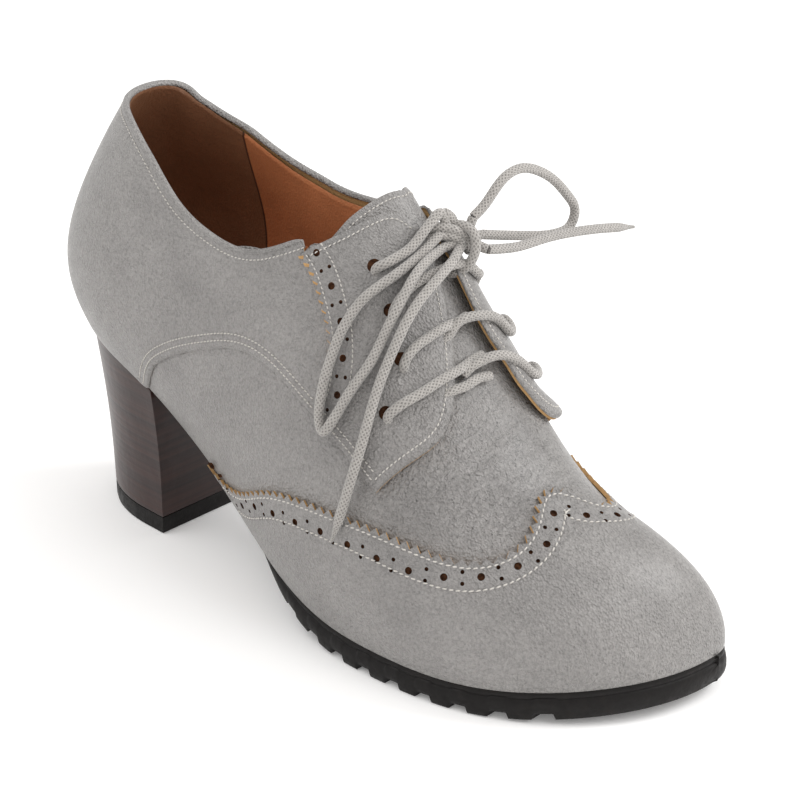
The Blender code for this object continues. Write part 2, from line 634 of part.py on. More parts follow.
def lace_run(start_side):
    """Zigzag over the throat from the lowest eyelet up to the second from the top."""
    lift = 2 * CLEAR + 2 * LEATHER + 0.5 * LACE
    rows = {-1: EYELETS_OUTER, 1: EYELETS_INNER}
    points = []
    side = start_side
    for i in range(len(EYELETS_OUTER) - 1, 1, -1):
        here, there = rows[side][i], rows[-side][i - 1]
        t = np.linspace(0, 1, 7)
        along = here[0] + (there[0] - here[0]) * t
        around = around_at(side, here[1]) + (around_at(-side, there[1]) - around_at(side, here[1])) * t
        bridge = lift + 0.0006 * np.sin(np.pi * t)
        run = [skin(stretched(place(a), g), np.asarray(r), g) for a, r, g in zip(along, around, bridge)]
        points.extend(run if not points else run[1:])
        side = -side
    return np.array(points)


def united(name, pieces):
    """One solid from pieces that overlap."""
    whole = pieces[0]
    whole.name = name
    for i, piece in enumerate(pieces[1:]):
        join = whole.modifiers.new("join_%d" % i, "BOOLEAN")
        join.operation = "UNION"
        join.solver = "EXACT"
        join.object = piece
    bpy.context.view_layer.update()
    evaluated = whole.evaluated_get(bpy.context.evaluated_depsgraph_get())
    mesh = bpy.data.meshes.new_from_object(evaluated)
    whole.modifiers.clear()
    whole.data = mesh
    for piece in pieces[1:]:
        bpy.data.objects.remove(piece)
    return whole


def make_lace_crossings(material):
    """Both halves of the lace over the throat, joined where they cross."""
    return united("lace_crossings", [loft("lace_half", tube_mesh(lace_run(side), 0.5 * LACE, 8), material)
                                     for side in (-1, 1)])


def knot_leg(side):
    """Lace from a top eyelet to the middle of the knot, as a bow over the flap."""
    lift = 2 * CLEAR + 2 * LEATHER + 0.5 * LACE
    along, height = (EYELETS_OUTER if side < 0 else EYELETS_INNER)[0]
    start = skin(stretched(place(along), lift), np.asarray(around_at(side, height)), lift)
    forward, over = KNOT_LEGS[0 if side < 0 else 1]
    t = np.linspace(0, 1, 7)[:, None]
    stop = np.array(KNOT_AT)
    bow = np.sin(np.pi * t) * np.array([forward, 0.0, over])
    return start + (stop - start) * t + bow


def make_lace_knot(material):
    """Closed form of the tied knot with the lace that comes up to it from the top eyelets."""
    bands, around = 7, 12
    rise = np.linspace(-np.pi / 2, np.pi / 2, bands + 2)[1:-1]
    turn = np.arange(around) * 2 * np.pi / around
    half = 0.5 * np.array(KNOT_SIZE)
    rings = [np.array(KNOT_AT) + half * np.stack([np.cos(r) * np.cos(turn), np.cos(r) * np.sin(turn),
                                                  np.full(around, np.sin(r))], -1) for r in rise]
    legs = [loft("lace_leg", tube_mesh(knot_leg(side), 0.5 * LACE, 8), material) for side in (-1, 1)]
    return united("lace_knot", [loft("knot_middle", rings, material)] + legs)


def make_cord(name, route, material):
    """Free lace: a tube on a smooth curve through its route."""
    route = np.array(route)
    stride = np.linalg.norm(np.diff(route, axis=0), axis=1)
    run = np.concatenate([[0], np.cumsum(stride)])
    count = int(np.ceil(run[-1] / (CORD_STEP * LACE))) + 1
    at = np.linspace(0, run[-1], count)
    points = np.stack([natural_spline(run, route[:, i])(at) for i in range(3)], -1)
    curve = bpy.data.curves.new(name, "CURVE")
    curve.dimensions = "3D"
    curve.bevel_depth = 0.5 * LACE
    curve.bevel_resolution = 2
    curve.use_fill_caps = True
    spline = curve.splines.new("POLY")
    spline.points.add(count - 1)
    for point, place_at in zip(spline.points, points):
        point.co = (*place_at, 1.0)
    curve.materials.append(material)
    cord = bpy.data.objects.new(name, curve)
    bpy.context.collection.objects.link(cord)
    return cord


def main():
    for old in list(bpy.data.objects):
        bpy.data.objects.remove(old)
    grey = make_material("grey_leather", (0.42, 0.40, 0.385), 0.5)
    lining = make_material("brown_lining", (0.20, 0.09, 0.045), 0.6)
    rubber = make_material("black_rubber", (0.02, 0.018, 0.016), 0.7)
    stack = make_material("stacked_heel", (0.07, 0.035, 0.028), 0.4)
    cord = make_material("grey_lace", (0.50, 0.48, 0.45), 0.8)
    make_upper(grey)
    make_quarters(grey)
    make_facing("facing_outer", -1, FLAP_TOP_OUTER, FLAP_FRONT_OUTER, grey)
    make_facing("facing_inner", 1, FLAP_TOP_INNER, FLAP_FRONT_INNER, grey)
    make_wing_cap(grey)
    make_tongue(grey)
    make_insole(lining)
    make_outsole(rubber)
    heel_solid("heel_tap", 0.0, TAP_HEIGHT, rubber)
    heel_solid("heel_block", TAP_HEIGHT + CLEAR, None, stack)
    make_lace_crossings(cord)
    make_lace_knot(cord)
    make_cord("lace_loop_outer", LOOP_OUTER, cord)
    make_cord("lace_loop_inner", LOOP_INNER, cord)
    make_cord("lace_end_outer", END_OUTER, cord)
    make_cord("lace_end_inner", END_INNER, cord)


main()
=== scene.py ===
"""Looks of a right lace-up shoe with a block heel, laid over its packed model.

Metres, in the packed model's frame: the toe points to +X, the inner side to +Y and up is +Z. Every
leather piece is cut flat to an outline of along and around and laid on the last's own surface:
along is the share of the last's length from the heel's back, around runs from -1 at the outer
feather edge over 0 at the ridge to +1 at the inner feather edge, and lift is the distance off the
last.
"""
import json

import bmesh
import bpy
import numpy as np
from bpy.props import FloatProperty, FloatVectorProperty
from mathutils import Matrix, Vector
from mathutils.geometry import delaunay_2d_cdt

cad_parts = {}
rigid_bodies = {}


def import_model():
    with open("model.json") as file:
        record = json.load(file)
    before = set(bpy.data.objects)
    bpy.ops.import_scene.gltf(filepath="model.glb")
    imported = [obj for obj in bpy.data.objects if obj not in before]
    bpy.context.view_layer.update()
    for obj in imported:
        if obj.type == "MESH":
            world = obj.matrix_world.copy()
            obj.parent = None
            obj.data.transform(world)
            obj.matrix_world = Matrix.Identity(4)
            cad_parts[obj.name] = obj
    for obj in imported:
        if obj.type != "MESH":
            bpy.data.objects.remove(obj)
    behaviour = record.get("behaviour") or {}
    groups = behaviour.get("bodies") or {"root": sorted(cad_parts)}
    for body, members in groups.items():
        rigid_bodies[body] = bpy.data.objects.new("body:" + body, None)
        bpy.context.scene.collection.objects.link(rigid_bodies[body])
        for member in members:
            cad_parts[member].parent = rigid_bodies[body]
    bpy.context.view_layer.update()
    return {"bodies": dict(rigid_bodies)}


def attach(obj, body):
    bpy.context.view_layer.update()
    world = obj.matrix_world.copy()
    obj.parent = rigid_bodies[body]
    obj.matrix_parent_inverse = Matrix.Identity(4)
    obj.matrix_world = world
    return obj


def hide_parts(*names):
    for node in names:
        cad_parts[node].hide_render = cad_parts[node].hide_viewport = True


bl_info = {
    "name": "Dressed lace-up shoe",
    "version": (1, 0, 0),
    "blender": (4, 5, 0),
    "location": "3D view > Sidebar > Shoe",
    "description": "Builds the visible leather, sole, heel and lace of a right lace-up shoe",
    "category": "Add Mesh",
}

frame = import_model()
BODY = next(iter(frame["bodies"]))

# The last, in metres
LAST_LENGTH = 0.254
SEAT_BACK = 0.033
BALL_WIDTH = 0.080
HEEL_HEIGHT = 0.068
FOREPART_HEIGHT = 0.009
TOE_SPRING = 0.005
TOE_SWING = 0.022
INSTEP_HEIGHT = 0.117
COLLAR_HEIGHT = 0.152
BACK_LEAN = 0.014
BACK_HOOK = 0.020
COLLAR_DRAW = 0.0065          # how far the inner side is drawn in near the collar
TOE_TIP = LAST_LENGTH - SEAT_BACK
LEAN_REACH = 1.066 * COLLAR_HEIGHT
HALF_GIRTH = 0.85 * BALL_WIDTH

# The pieces, in metres
MM = 0.001
WALL = 0.0018
INSOLE_THICKNESS = 0.0018
CLEAR = 0.0003
WAIST_THICKNESS = 0.0035
LIP = 0.0025
LUG_PITCH = 0.012
LUG_LENGTH = 0.006
LUG_DEPTH = 0.0021
TAP_HEIGHT = 0.006
HEEL_TOP_LENGTH = 0.051
HEEL_FOOT_LENGTH = 0.045
HEEL_FOOT_WIDTH = 0.052
HEEL_WAIST = 0.0012
BREAST_FOOT = 0.020
LACE = 0.0032                 # thickness of the lace
LACE_STEP = 0.7 * MM          # from point to point along it
LACE_TIP = 10 * MM            # a free end thins over this length

# Leathers, as the lift of the back and of the face off the last
LINING_LIFTS = (-1.9 * MM, -1.15 * MM)
VAMP_LIFTS = (-0.9 * MM, 0.0)
QUARTER_LIFTS = (0.30 * MM, 1.30 * MM)
CAP_LIFTS = (0.30 * MM, 1.60 * MM)
FLAP_LIFTS = (1.35 * MM, 2.45 * MM)
LINING_CELLS = 3.0            # millimetres between the points of a sheet
WIDE_CELLS = 2.2
FINE_CELLS = 1.9

# Rows of stitching and the furrows that they lie in, as distances in from the edge that they follow
CAP_SEAMS = (2.6 * MM, 9.5 * MM)
STRIP_SEAMS = (2.4 * MM, 9.2 * MM)
ARC_SEAMS = (1.7 * MM, 3.9 * MM)
FRONT_SEAM = 2.6 * MM
TONGUE_SEAM = 2.6 * MM
COLLAR_SEAM = 3.4 * MM
SHARE_LONG = 0.72             # length of a stitch, share of the pitch
FINE_THREAD = 0.22 * MM       # half thickness of the thread
CAP_THREAD = 0.27 * MM

# Punched holes: pitch and radius of the large ones, offset and radius of the small pairs between them
CAP_HOLE_PITCH = 11.35 * MM
CAP_HOLE = 1.18 * MM
CAP_SMALL_OFFSET = 1.75 * MM
CAP_SMALL_HOLE = 0.66 * MM
STRIP_INSET = 5.8 * MM
STRIP_HOLE_PITCH = 11.2 * MM
STRIP_HOLE = 1.15 * MM
STRIP_SMALL_OFFSET = 1.5 * MM
STRIP_SMALL_HOLE = 0.62 * MM
EYELET = 2.15 * MM
LARGE_SIDES = 14              # corners of a large hole, a small hole and an eyelet
SMALL_SIDES = 10
EYELET_SIDES = 22

# Where the leather wrinkles most: over the ball, just ahead of the laces
BEND_AT = (0.150, -0.006, 0.060)
BEND_REACH = 0.052

# Cross sections of the last at shares of its length
STATION_COLUMNS = ("along", "fall", "spring", "outer", "inner", "ridge", "shoulder", "bulge", "offset")
STATIONS = (
    (0.000, 1.000, 0.0, 0.338, 0.325, 5.98, 1.35, 0.119, 0.000),
    (0.130, 0.907, 0.0, 0.344, 0.325, 4.27, 1.35, 0.094, 0.006),
    (0.248, 0.695, 0.0, 0.356, 0.313, 2.86, 1.35, 0.088, 0.019),
    (0.366, 0.407, 0.0, 0.388, 0.300, 1.855, 1.40, 0.088, 0.038),
    (0.484, 0.144, 0.0, 0.463, 0.350, 1.256, 1.70, 0.075, 0.063),
    (0.583, 0.025, 0.0, 0.525, 0.413, 1.000, 2.00, 0.050, 0.081),
    (0.681, 0.000, 0.0, 0.569, 0.438, 0.718, 2.20, 0.031, 0.081),
    (0.780, 0.000, 0.0, 0.594, 0.400, 0.462, 2.25, 0.019, 0.081),
    (0.878, 0.000, 0.3, 0.606, 0.363, 0.333, 2.30, 0.013, 0.131),
    (1.000, 0.000, 1.0, 0.588, 0.313, 0.265, 2.40, 0.006, 0.275),
)
HEEL_CLOSING = 0.161         # the plan starts to close to the seat's back here, share of LAST_LENGTH
TOE_CLOSING = 0.720          # and to the tip here
TOE_DROP = 0.858             # the ridge starts to drop to the tip here
SWING_START = 0.484

# Collar height by station, shares of LAST_LENGTH and COLLAR_HEIGHT
COLLAR = (
    # along, outer, inner
    (0.000, 0.994, 0.994),
    (0.040, 0.990, 0.968),
    (0.090, 0.975, 0.928),
    (0.130, 0.950, 0.908),
    (0.170, 0.915, 0.893),
    (0.248, 0.836, 0.850),
    (0.327, 0.789, 0.828),
    (0.406, 0.783, 0.824),
    (0.480, 0.835, 0.835),
)
# Throat of the upper: along, and how far up the section, from the collar's front to the slot's end
THROAT = ((0.480, 0.545), (0.504, 0.595), (0.524, 0.655), (0.551, 0.715), (0.583, 0.765), (0.610, 0.820),
          (0.630, 0.900), (0.638, 1.000))
# Outlines drawn on the skin, as along and height up the section, 0 at the feather edge, 1 at the ridge
TONGUE_TOP = ((0.489, 0.580), (0.504, 0.622), (0.516, 0.700), (0.528, 0.800), (0.536, 0.900), (0.541, 1.000))
QUARTER_SEAM = ((0.661, 0.361), (0.582, 0.360), (0.532, 0.358), (0.480, 0.345), (0.420, 0.300),
                (0.342, 0.214), (0.260, 0.116), (0.220, 0.055), (0.198, 0.000))
FLAP_REAR = ((0.480, 0.519), (0.505, 0.531), (0.524, 0.521), (0.547, 0.491), (0.559, 0.423), (0.553, 0.357))
FLAP_TOP_OUTER = ((0.485, 0.536), (0.527, 0.689), (0.547, 0.812), (0.563, 0.914), (0.580, 0.965))
FLAP_FRONT_OUTER = ((0.593, 0.970), (0.628, 0.935), (0.652, 0.900), (0.680, 0.834), (0.702, 0.703),
                    (0.690, 0.531), (0.661, 0.361))
FLAP_TOP_INNER = ((0.485, 0.536), (0.527, 0.680), (0.551, 0.790), (0.575, 0.890), (0.596, 0.965))
FLAP_FRONT_INNER = ((0.610, 0.980), (0.654, 0.985), (0.674, 0.970), (0.693, 0.940), (0.711, 0.915),
                    (0.729, 0.820), (0.727, 0.640), (0.700, 0.480), (0.675, 0.361))
# Rear edge of the vamp under the quarter, along and around, and how far forward it runs under the cap
VAMP_BACK = ((0.170, -1.0), (0.235, -0.86), (0.33, -0.70), (0.47, -0.50))
VAMP_TOE = 0.93
# Rear edge of the toe cap, along and around
WING_EDGE = ((0.327, -1.000), (0.425, -0.900), (0.500, -0.820), (0.609, -0.758), (0.682, -0.695),
             (0.749, -0.603), (0.795, -0.493), (0.816, -0.363), (0.811, -0.208), (0.795, -0.054),
             (0.811, 0.050), (0.832, 0.150), (0.824, 0.300), (0.790, 0.430), (0.735, 0.550), (0.660, 0.680),
             (0.560, 0.790), (0.440, 0.900), (0.327, 1.000))
CAP_START = WING_EDGE[0][0]   # the wings run back to here
WING_END = 0.985              # holes and stitches stop at this around value, just above the sole

# Outsole: along, share of the full forepart thickness, share of LIP
SOLE_EDGE = ((0.205, 0.00, -1.20), (0.366, 0.00, -1.20), (0.430, 0.20, -0.60), (0.485, 0.50, 0.40),
             (0.545, 0.85, 0.90), (0.610, 1.00, 1.00), (1.000, 1.00, 1.00))
# Eyelets from the top down, along and around, on the outer side (-1) and on the inner side (1)
EYELETS = {
    -1: ((0.573, -0.277), (0.608, -0.293), (0.639, -0.335), (0.647, -0.471)),
    1: ((0.576, 0.265), (0.611, 0.275), (0.644, 0.310), (0.665, 0.430)),
}

# Middle of the knot, and the routes of the bow's loops and free ends from it
KNOT_AT = (0.1240, 0.0140, 0.1272)
LOOP_OUTER = (
    (0.1206, 0.0062, 0.1302), (0.1210, 0.0012, 0.1282), (0.1209, -0.0040, 0.1258),
    (0.1204, -0.0098, 0.1234), (0.1180, -0.0172, 0.1196), (0.1153, -0.0222, 0.1157),
    (0.1134, -0.0261, 0.1108), (0.1122, -0.0297, 0.1050), (0.1116, -0.0330, 0.0980),
    (0.1113, -0.0357, 0.0915), (0.1116, -0.0379, 0.0850), (0.1130, -0.0397, 0.0795),
    (0.1155, -0.0407, 0.0772), (0.1178, -0.0400, 0.0800), (0.1194, -0.0371, 0.0850),
    (0.1208, -0.0344, 0.0898), (0.1228, -0.0310, 0.0952), (0.1242, -0.0275, 0.1002),
    (0.1245, -0.0237, 0.1053), (0.1254, -0.0208, 0.1107), (0.1260, -0.0161, 0.1172),
    (0.1253, -0.0099, 0.1225), (0.1237, -0.0018, 0.1252), (0.1222, 0.0056, 0.1262),
)
END_OUTER = (
    (0.1278, 0.0046, 0.1240), (0.1295, -0.0037, 0.1212), (0.1298, -0.0119, 0.1169),
    (0.1297, -0.0186, 0.1108), (0.1290, -0.0229, 0.1039), (0.1284, -0.0257, 0.0987),
    (0.1286, -0.0290, 0.0939), (0.1290, -0.0326, 0.0878), (0.1293, -0.0371, 0.0779),
    (0.1289, -0.0413, 0.0675), (0.1268, -0.0441, 0.0554), (0.1244, -0.0464, 0.0443),
)
LOOP_INNER = (
    (0.1246, 0.0172, 0.1340), (0.1255, 0.0213, 0.1370), (0.1260, 0.0252, 0.1408), (0.1260, 0.0306, 0.1442),
    (0.1260, 0.0380, 0.1450), (0.1260, 0.0455, 0.1425), (0.1260, 0.0548, 0.1365), (0.1260, 0.0622, 0.1291),
    (0.1260, 0.0656, 0.1232), (0.1259, 0.0638, 0.1190), (0.1257, 0.0580, 0.1178), (0.1252, 0.0443, 0.1204),
    (0.1242, 0.0310, 0.1240), (0.1238, 0.0222, 0.1266),
)
END_INNER = (
    (0.1300, 0.0180, 0.1244), (0.1306, 0.0245, 0.1230), (0.1310, 0.0314, 0.1218), (0.1310, 0.0419, 0.1211),
    (0.1310, 0.0563, 0.1195), (0.1310, 0.0749, 0.1160), (0.1310, 0.0912, 0.1120),
)

# Lace strands over the throat, as along, around and lift in metres; the ends go down into the eyelets
STRANDS = (
    # bottom row, first half: eyelet of the near flap to under the far flap
    ((0.649, -0.473, -0.0010), (0.649, -0.470, 0.0030), (0.656, -0.433, 0.0045), (0.669, -0.339, 0.0044),
     (0.678, -0.224, 0.0040), (0.681, -0.123, 0.0030), (0.679, -0.055, 0.0018), (0.678, -0.010, 0.0012)),
    # bottom row, second half: over the far flap to its eyelet
    ((0.684, -0.130, 0.0016), (0.684, -0.112, 0.0024), (0.687, -0.055, 0.0046), (0.691, -0.001, 0.0062),
     (0.695, 0.075, 0.0062), (0.697, 0.148, 0.0052), (0.700, 0.230, 0.0045), (0.690, 0.350, 0.0045),
     (0.672, 0.420, 0.0040), (0.665, 0.430, -0.0010)),
    # piece between the flaps over the tongue
    ((0.684, -0.245, 0.0016), (0.687, -0.210, 0.0024), (0.692, -0.146, 0.0026), (0.693, -0.079, 0.0024),
     (0.695, -0.021, 0.0018)),
    # third row
    ((0.641, -0.339, -0.0010), (0.642, -0.336, 0.0030), (0.644, -0.299, 0.0045), (0.649, -0.212, 0.0044),
     (0.652, -0.132, 0.0040), (0.652, -0.055, 0.0026), (0.649, -0.005, 0.0014)),
    ((0.655, -0.150, 0.0016), (0.656, -0.126, 0.0024), (0.656, -0.083, 0.0044), (0.661, -0.012, 0.0062),
     (0.664, 0.063, 0.0062), (0.666, 0.141, 0.0054), (0.668, 0.220, 0.0046), (0.656, 0.290, 0.0045),
     (0.646, 0.308, 0.0038), (0.644, 0.310, -0.0010)),
    # second row
    ((0.608, -0.293, -0.0010), (0.610, -0.288, 0.0032), (0.612, -0.230, 0.0045), (0.616, -0.140, 0.0046),
     (0.620, -0.068, 0.0050), (0.622, -0.021, 0.0056), (0.625, 0.050, 0.0062), (0.627, 0.121, 0.0058),
     (0.624, 0.190, 0.0048), (0.614, 0.262, 0.0042), (0.611, 0.275, -0.0010)),
    # first row, near half: from the top eyelet towards the knot
    ((0.573, -0.277, -0.0010), (0.575, -0.275, 0.0030), (0.582, -0.253, 0.0044), (0.589, -0.199, 0.0046),
     (0.594, -0.135, 0.0052), (0.595, -0.079, 0.0066), (0.595, -0.037, 0.0080), (0.594, 0.010, 0.0090)),
    # first row, far half
    ((0.576, 0.265, -0.0010), (0.578, 0.262, 0.0032), (0.584, 0.220, 0.0052), (0.590, 0.160, 0.0066),
     (0.593, 0.100, 0.0080), (0.594, 0.050, 0.0088)),
)
TOP_STRANDS = STRANDS[-2:]    # these two reach the knot
# Line of the toe cap's large holes, along and around
CAP_HOLES = ((0.327, -0.965), (0.4016, -0.952), (0.4559, -0.892), (0.5106, -0.852), (0.5602, -0.828),
             (0.6055, -0.808), (0.6512, -0.788), (0.6941, -0.756), (0.7370, -0.703), (0.7768, -0.623),
             (0.8130, -0.517), (0.8358, -0.379), (0.8370, -0.228), (0.8200, -0.084), (0.8460, 0.000),
             (0.8567, 0.148), (0.8480, 0.290), (0.8150, 0.420), (0.7600, 0.550), (0.6850, 0.690),
             (0.5850, 0.810), (0.4650, 0.920), (0.3900, 0.965))
# Soft creases of the vamp: line of along and around, depth and half width in metres
CREASES = (
    (((0.700, -0.560), (0.722, -0.440), (0.735, -0.300), (0.742, -0.150), (0.742, 0.000)), 0.0005, 0.0022),
    (((0.716, -0.470), (0.748, -0.360), (0.764, -0.230), (0.768, -0.080), (0.764, 0.060)), 0.0004, 0.0020),
    (((0.690, -0.500), (0.706, -0.380), (0.716, -0.260), (0.722, -0.120)), 0.0003, 0.0014),
    (((0.728, -0.520), (0.756, -0.430), (0.778, -0.330)), 0.0003, 0.0014),
    (((0.740, -0.200), (0.752, -0.060), (0.756, 0.100), (0.748, 0.240)), 0.0004, 0.0018),
)
# Three turns of the knot: the band over the top, the wrap on its right and the length between them. In
# millimetres from the knot's middle: centre, half axis across, half axis over the top; then two angles
KNOT_TURNS = (
    ((-5.0, -3.5, -2.5), (6.5, 5.5, 0.5), (0.5, -4.0, 7.5), 180.0, 0.0),
    ((-1.0, -3.5, -2.5), (7.0, 1.5, 0.0), (1.0, 2.5, 7.5), 150.0, -120.0),
    ((-4.5, -4.0, -4.0), (5.5, 5.0, 0.0), (1.5, -2.5, 6.5), 180.0, 0.0),
)


def natural_spline(knots, values):
    """Smooth curve through the values: cubic pieces with equal slope and bend where they meet."""
    knots = np.asarray(knots, float)
    values = np.asarray(values, float)
    step = np.diff(knots)
    count = len(knots)
    system = np.eye(count)
    right = np.zeros(count)
    for i in range(1, count - 1):
        system[i, i - 1] = step[i - 1]
        system[i, i] = 2 * (step[i - 1] + step[i])
        system[i, i + 1] = step[i]
        right[i] = 3 * ((values[i + 1] - values[i]) / step[i] - (values[i] - values[i - 1]) / step[i - 1])
    bend = np.linalg.solve(system, right)

    def curve(x):
        x = np.asarray(x, float)
        i = np.clip(np.searchsorted(knots, x, side="right") - 1, 0, count - 2)
        t = x - knots[i]
        slope = (values[i + 1] - values[i]) / step[i] - step[i] * (2 * bend[i] + bend[i + 1]) / 3
        return values[i] + t * (slope + t * (bend[i] + t * (bend[i + 1] - bend[i]) / (3 * step[i])))

    return curve


def column_splines(rows, names):
    """One smooth curve for each column of a table, over its first column."""
    table = np.array(rows, float)
    return {name: natural_spline(table[:, 0], table[:, i]) for i, name in enumerate(names) if i}


SECTION = column_splines(STATIONS, STATION_COLUMNS)
COLLAR_LINE = column_splines(COLLAR, ("along", "outer", "inner"))
SOLE_LINE = column_splines(SOLE_EDGE, ("along", "thickness", "lip"))


def place(along):
    """Station in metres from its share of the last's length."""
    return np.asarray(along, float) * LAST_LENGTH - SEAT_BACK


def share(x):
    """Share of the last's length at a station in metres."""
    return (np.asarray(x, float) + SEAT_BACK) / LAST_LENGTH


def closing(x, tip, start, power):
    """1 as far as start, then down to 0 at tip along a superellipse."""
    t = np.clip((x - start) / (tip - start), 0, 1)
    return (1 - t ** power) ** (1 / power)


def ease(t):
    """Smooth step from 0 at t = 0 to 1 at t = 1."""
    t = np.clip(t, 0, 1)
    return t * t * (3 - 2 * t)


def floor_line(x):
    """Height of the feather edge: heel, drop to the ball, toe spring."""
    drop = HEEL_HEIGHT - FOREPART_HEIGHT
    return FOREPART_HEIGHT + drop * SECTION["fall"](share(x)) + TOE_SPRING * SECTION["spring"](share(x))


def swing(x):
    """Shift of the last's middle line to the inner side."""
    return TOE_SWING * np.maximum((share(x) - SWING_START) / (1 - SWING_START), 0) ** 1.8


def feather(side, x, grow=0.0):
    """Plan of the feather edge, y at each station, with side -1 outer and +1 inner."""
    width = BALL_WIDTH * SECTION["outer" if side < 0 else "inner"](share(x)) + grow
    width = width * closing(x, -SEAT_BACK - grow, place(HEEL_CLOSING), 2.1)
    width = width * closing(x, TOE_TIP + grow, place(TOE_CLOSING), 2.25)
    return swing(x) + side * width


def plan_normal(side, x, grow):
    """Outward direction of the feather edge in plan."""
    low, high = -SEAT_BACK - grow, TOE_TIP + grow
    step = 0.00005
    x0 = np.clip(x - step, low, high)
    x1 = np.clip(x + step, low, high)
    dx = x1 - x0
    dy = feather(side, x1, grow) - feather(side, x0, grow)
    length = np.hypot(dx, dy)
    return -side * dy / length, side * dx / length


def ridge_rise(x, grow):
    """Height of the section above the feather edge."""
    step = 0.001
    rise = INSTEP_HEIGHT * SECTION["ridge"](share(x))
    ahead = INSTEP_HEIGHT * SECTION["ridge"](share(x + step)) + floor_line(x + step)
    slope = (ahead - rise - floor_line(x)) / step
    return (rise + grow * np.hypot(1, slope)) * closing(x, TOE_TIP + grow, place(TOE_DROP), 2.0)


def section_height(x, z):
    """How far up the section, 0 to 1, a station reaches the height z."""
    part = np.clip((z - floor_line(x)) / np.maximum(ridge_rise(x, 0.0), 1e-6), 0, 1)
    return np.arcsin(part ** (SECTION["shoulder"](share(x)) / 2)) * 2 / np.pi


def skin(x, around, grow=0.0):
    """Points of the last's surface moved out by grow.

    Each cross section is a superellipse from the feather edge to the ridge. It bulges outwards by a
    sine of its height, and behind the ankle it leans forward with height. Near the collar the inner side is
    drawn in behind the ankle.
    """
    x, around = np.broadcast_arrays(np.asarray(x, float), np.asarray(around, float))
    grow = np.broadcast_to(np.asarray(grow, float), x.shape)
    points = np.empty(x.shape + (3,))
    for side in (-1, 1):
        here = (around <= 0) if side < 0 else (around > 0)
        xs, g = x[here], grow[here]
        angle = (1 - np.abs(around[here])) * np.pi / 2
        power = SECTION["shoulder"](share(xs))
        flat = np.where(angle >= np.pi / 2, 0, np.abs(np.cos(angle)) ** (2 / power))
        rise = ridge_rise(xs, g)
        base = floor_line(xs)
        z = base + rise * np.abs(np.sin(angle)) ** (2 / power)
        middle = swing(xs)
        ridge_y = BALL_WIDTH * SECTION["offset"](share(xs)) - middle
        ridge_y = middle + ridge_y * closing(xs, TOE_TIP + g, place(TOE_DROP), 2.0)
        y = ridge_y + (feather(side, xs, g) - ridge_y) * flat
        reach = LEAN_REACH - base
        span = (np.maximum(rise, 1e-7) ** -6 + reach ** -6) ** (-1 / 6)
        level = np.clip((z - base) / span, 0, 1)
        ahead = 1 - ease(share(xs) / 0.492)
        lean = ahead * (BACK_LEAN * (z - base) / reach + BACK_HOOK * np.maximum((z - base) / reach, 0) ** 3.5)
        bulge = BALL_WIDTH * SECTION["bulge"](share(xs)) * np.sin(np.pi * level * (1.9 - 0.9 * level))
        bulge = bulge * closing(xs, TOE_TIP + g, place(TOE_CLOSING), 2.25)
        if side > 0:
            reach_in = ease(share(xs) / 0.06) * (1 - ease((share(xs) - 0.17) / 0.16))
            y = y - COLLAR_DRAW * reach_in * ease((z - 0.095) / 0.050)
        nx, ny = plan_normal(side, xs, g)
        points[here] = np.stack([xs + lean + bulge * nx, y + bulge * ny, z], -1)
    return points


def stretched(x, grow):
    """Stations of the plain last moved so that they reach the ends of the grown one."""
    middle = 0.5 * (TOE_TIP - SEAT_BACK)
    return middle + (x - middle) * (LAST_LENGTH + 2 * grow) / LAST_LENGTH


def throat_height(x):
    """How far up the section the upper reaches at its throat."""
    throat = np.array(THROAT)
    return np.interp(share(x), throat[:, 0], throat[:, 1])


def top_height(side, x):
    """How far up the section the upper reaches: collar, throat or ridge."""
    collar = COLLAR_HEIGHT * COLLAR_LINE["outer" if side < 0 else "inner"](share(x))
    behind = section_height(x, collar)
    return np.where(share(x) < THROAT[0][0], behind, throat_height(x))


def around_at(side, height):
    """Around value of a height up the section on one side."""
    return side * (1 - np.asarray(height, float))


FLIP = np.array([1.0, -1.0])                  # carries along and around to the shoe's other side


def smooth_path(rows, count):
    """Points at even spacing on a smooth curve through hand-chosen rows of along and around."""
    table = np.array(rows, float)
    stride = np.hypot(np.diff(table[:, 0]) * LAST_LENGTH, np.diff(table[:, 1]) * HALF_GIRTH)
    run = np.concatenate([[0], np.cumsum(stride)])
    at = np.linspace(0, run[-1], count)
    return np.stack([natural_spline(run, table[:, 0])(at), natural_spline(run, table[:, 1])(at)], -1)


def raised(side, rows):
    """Rows of along and height up the section turned into along and around."""
    table = np.array(rows, float)
    return np.stack([table[:, 0], around_at(side, table[:, 1])], -1)


def collar_path(side, along):
    """Collar edge at the given shares of the length, as along and around."""
    return np.stack([along, around_at(side, top_height(side, place(along)))], -1)


def unit(vectors):
    """Vectors brought to length 1."""
    return vectors / np.maximum(np.linalg.norm(vectors, axis=-1, keepdims=True), 1e-12)


def surface(path, lift=0.0):
    """Points on the skin for rows of along and around, moved out by lift."""
    lift = np.broadcast_to(np.asarray(lift, float), path.shape[:-1])
    return skin(stretched(place(path[..., 0]), lift), np.clip(path[..., 1], -1, 1), lift)


def slopes(path, lift=0.0):
    """How the skin moves with along and with around, and its outward direction: their cross product."""
    da, dr = 0.0008, 0.004
    along = np.clip(path[..., 0], da, 1 - da)
    around = np.clip(path[..., 1], dr - 1, 1 - dr)

    def moved(a, r):
        return surface(np.stack([along + a, around + r], -1), lift)

    ahead = moved(da, 0) - moved(-da, 0)
    over = moved(0, dr) - moved(0, -dr)
    return ahead / (2 * da), over / (2 * dr), unit(np.cross(ahead, over))


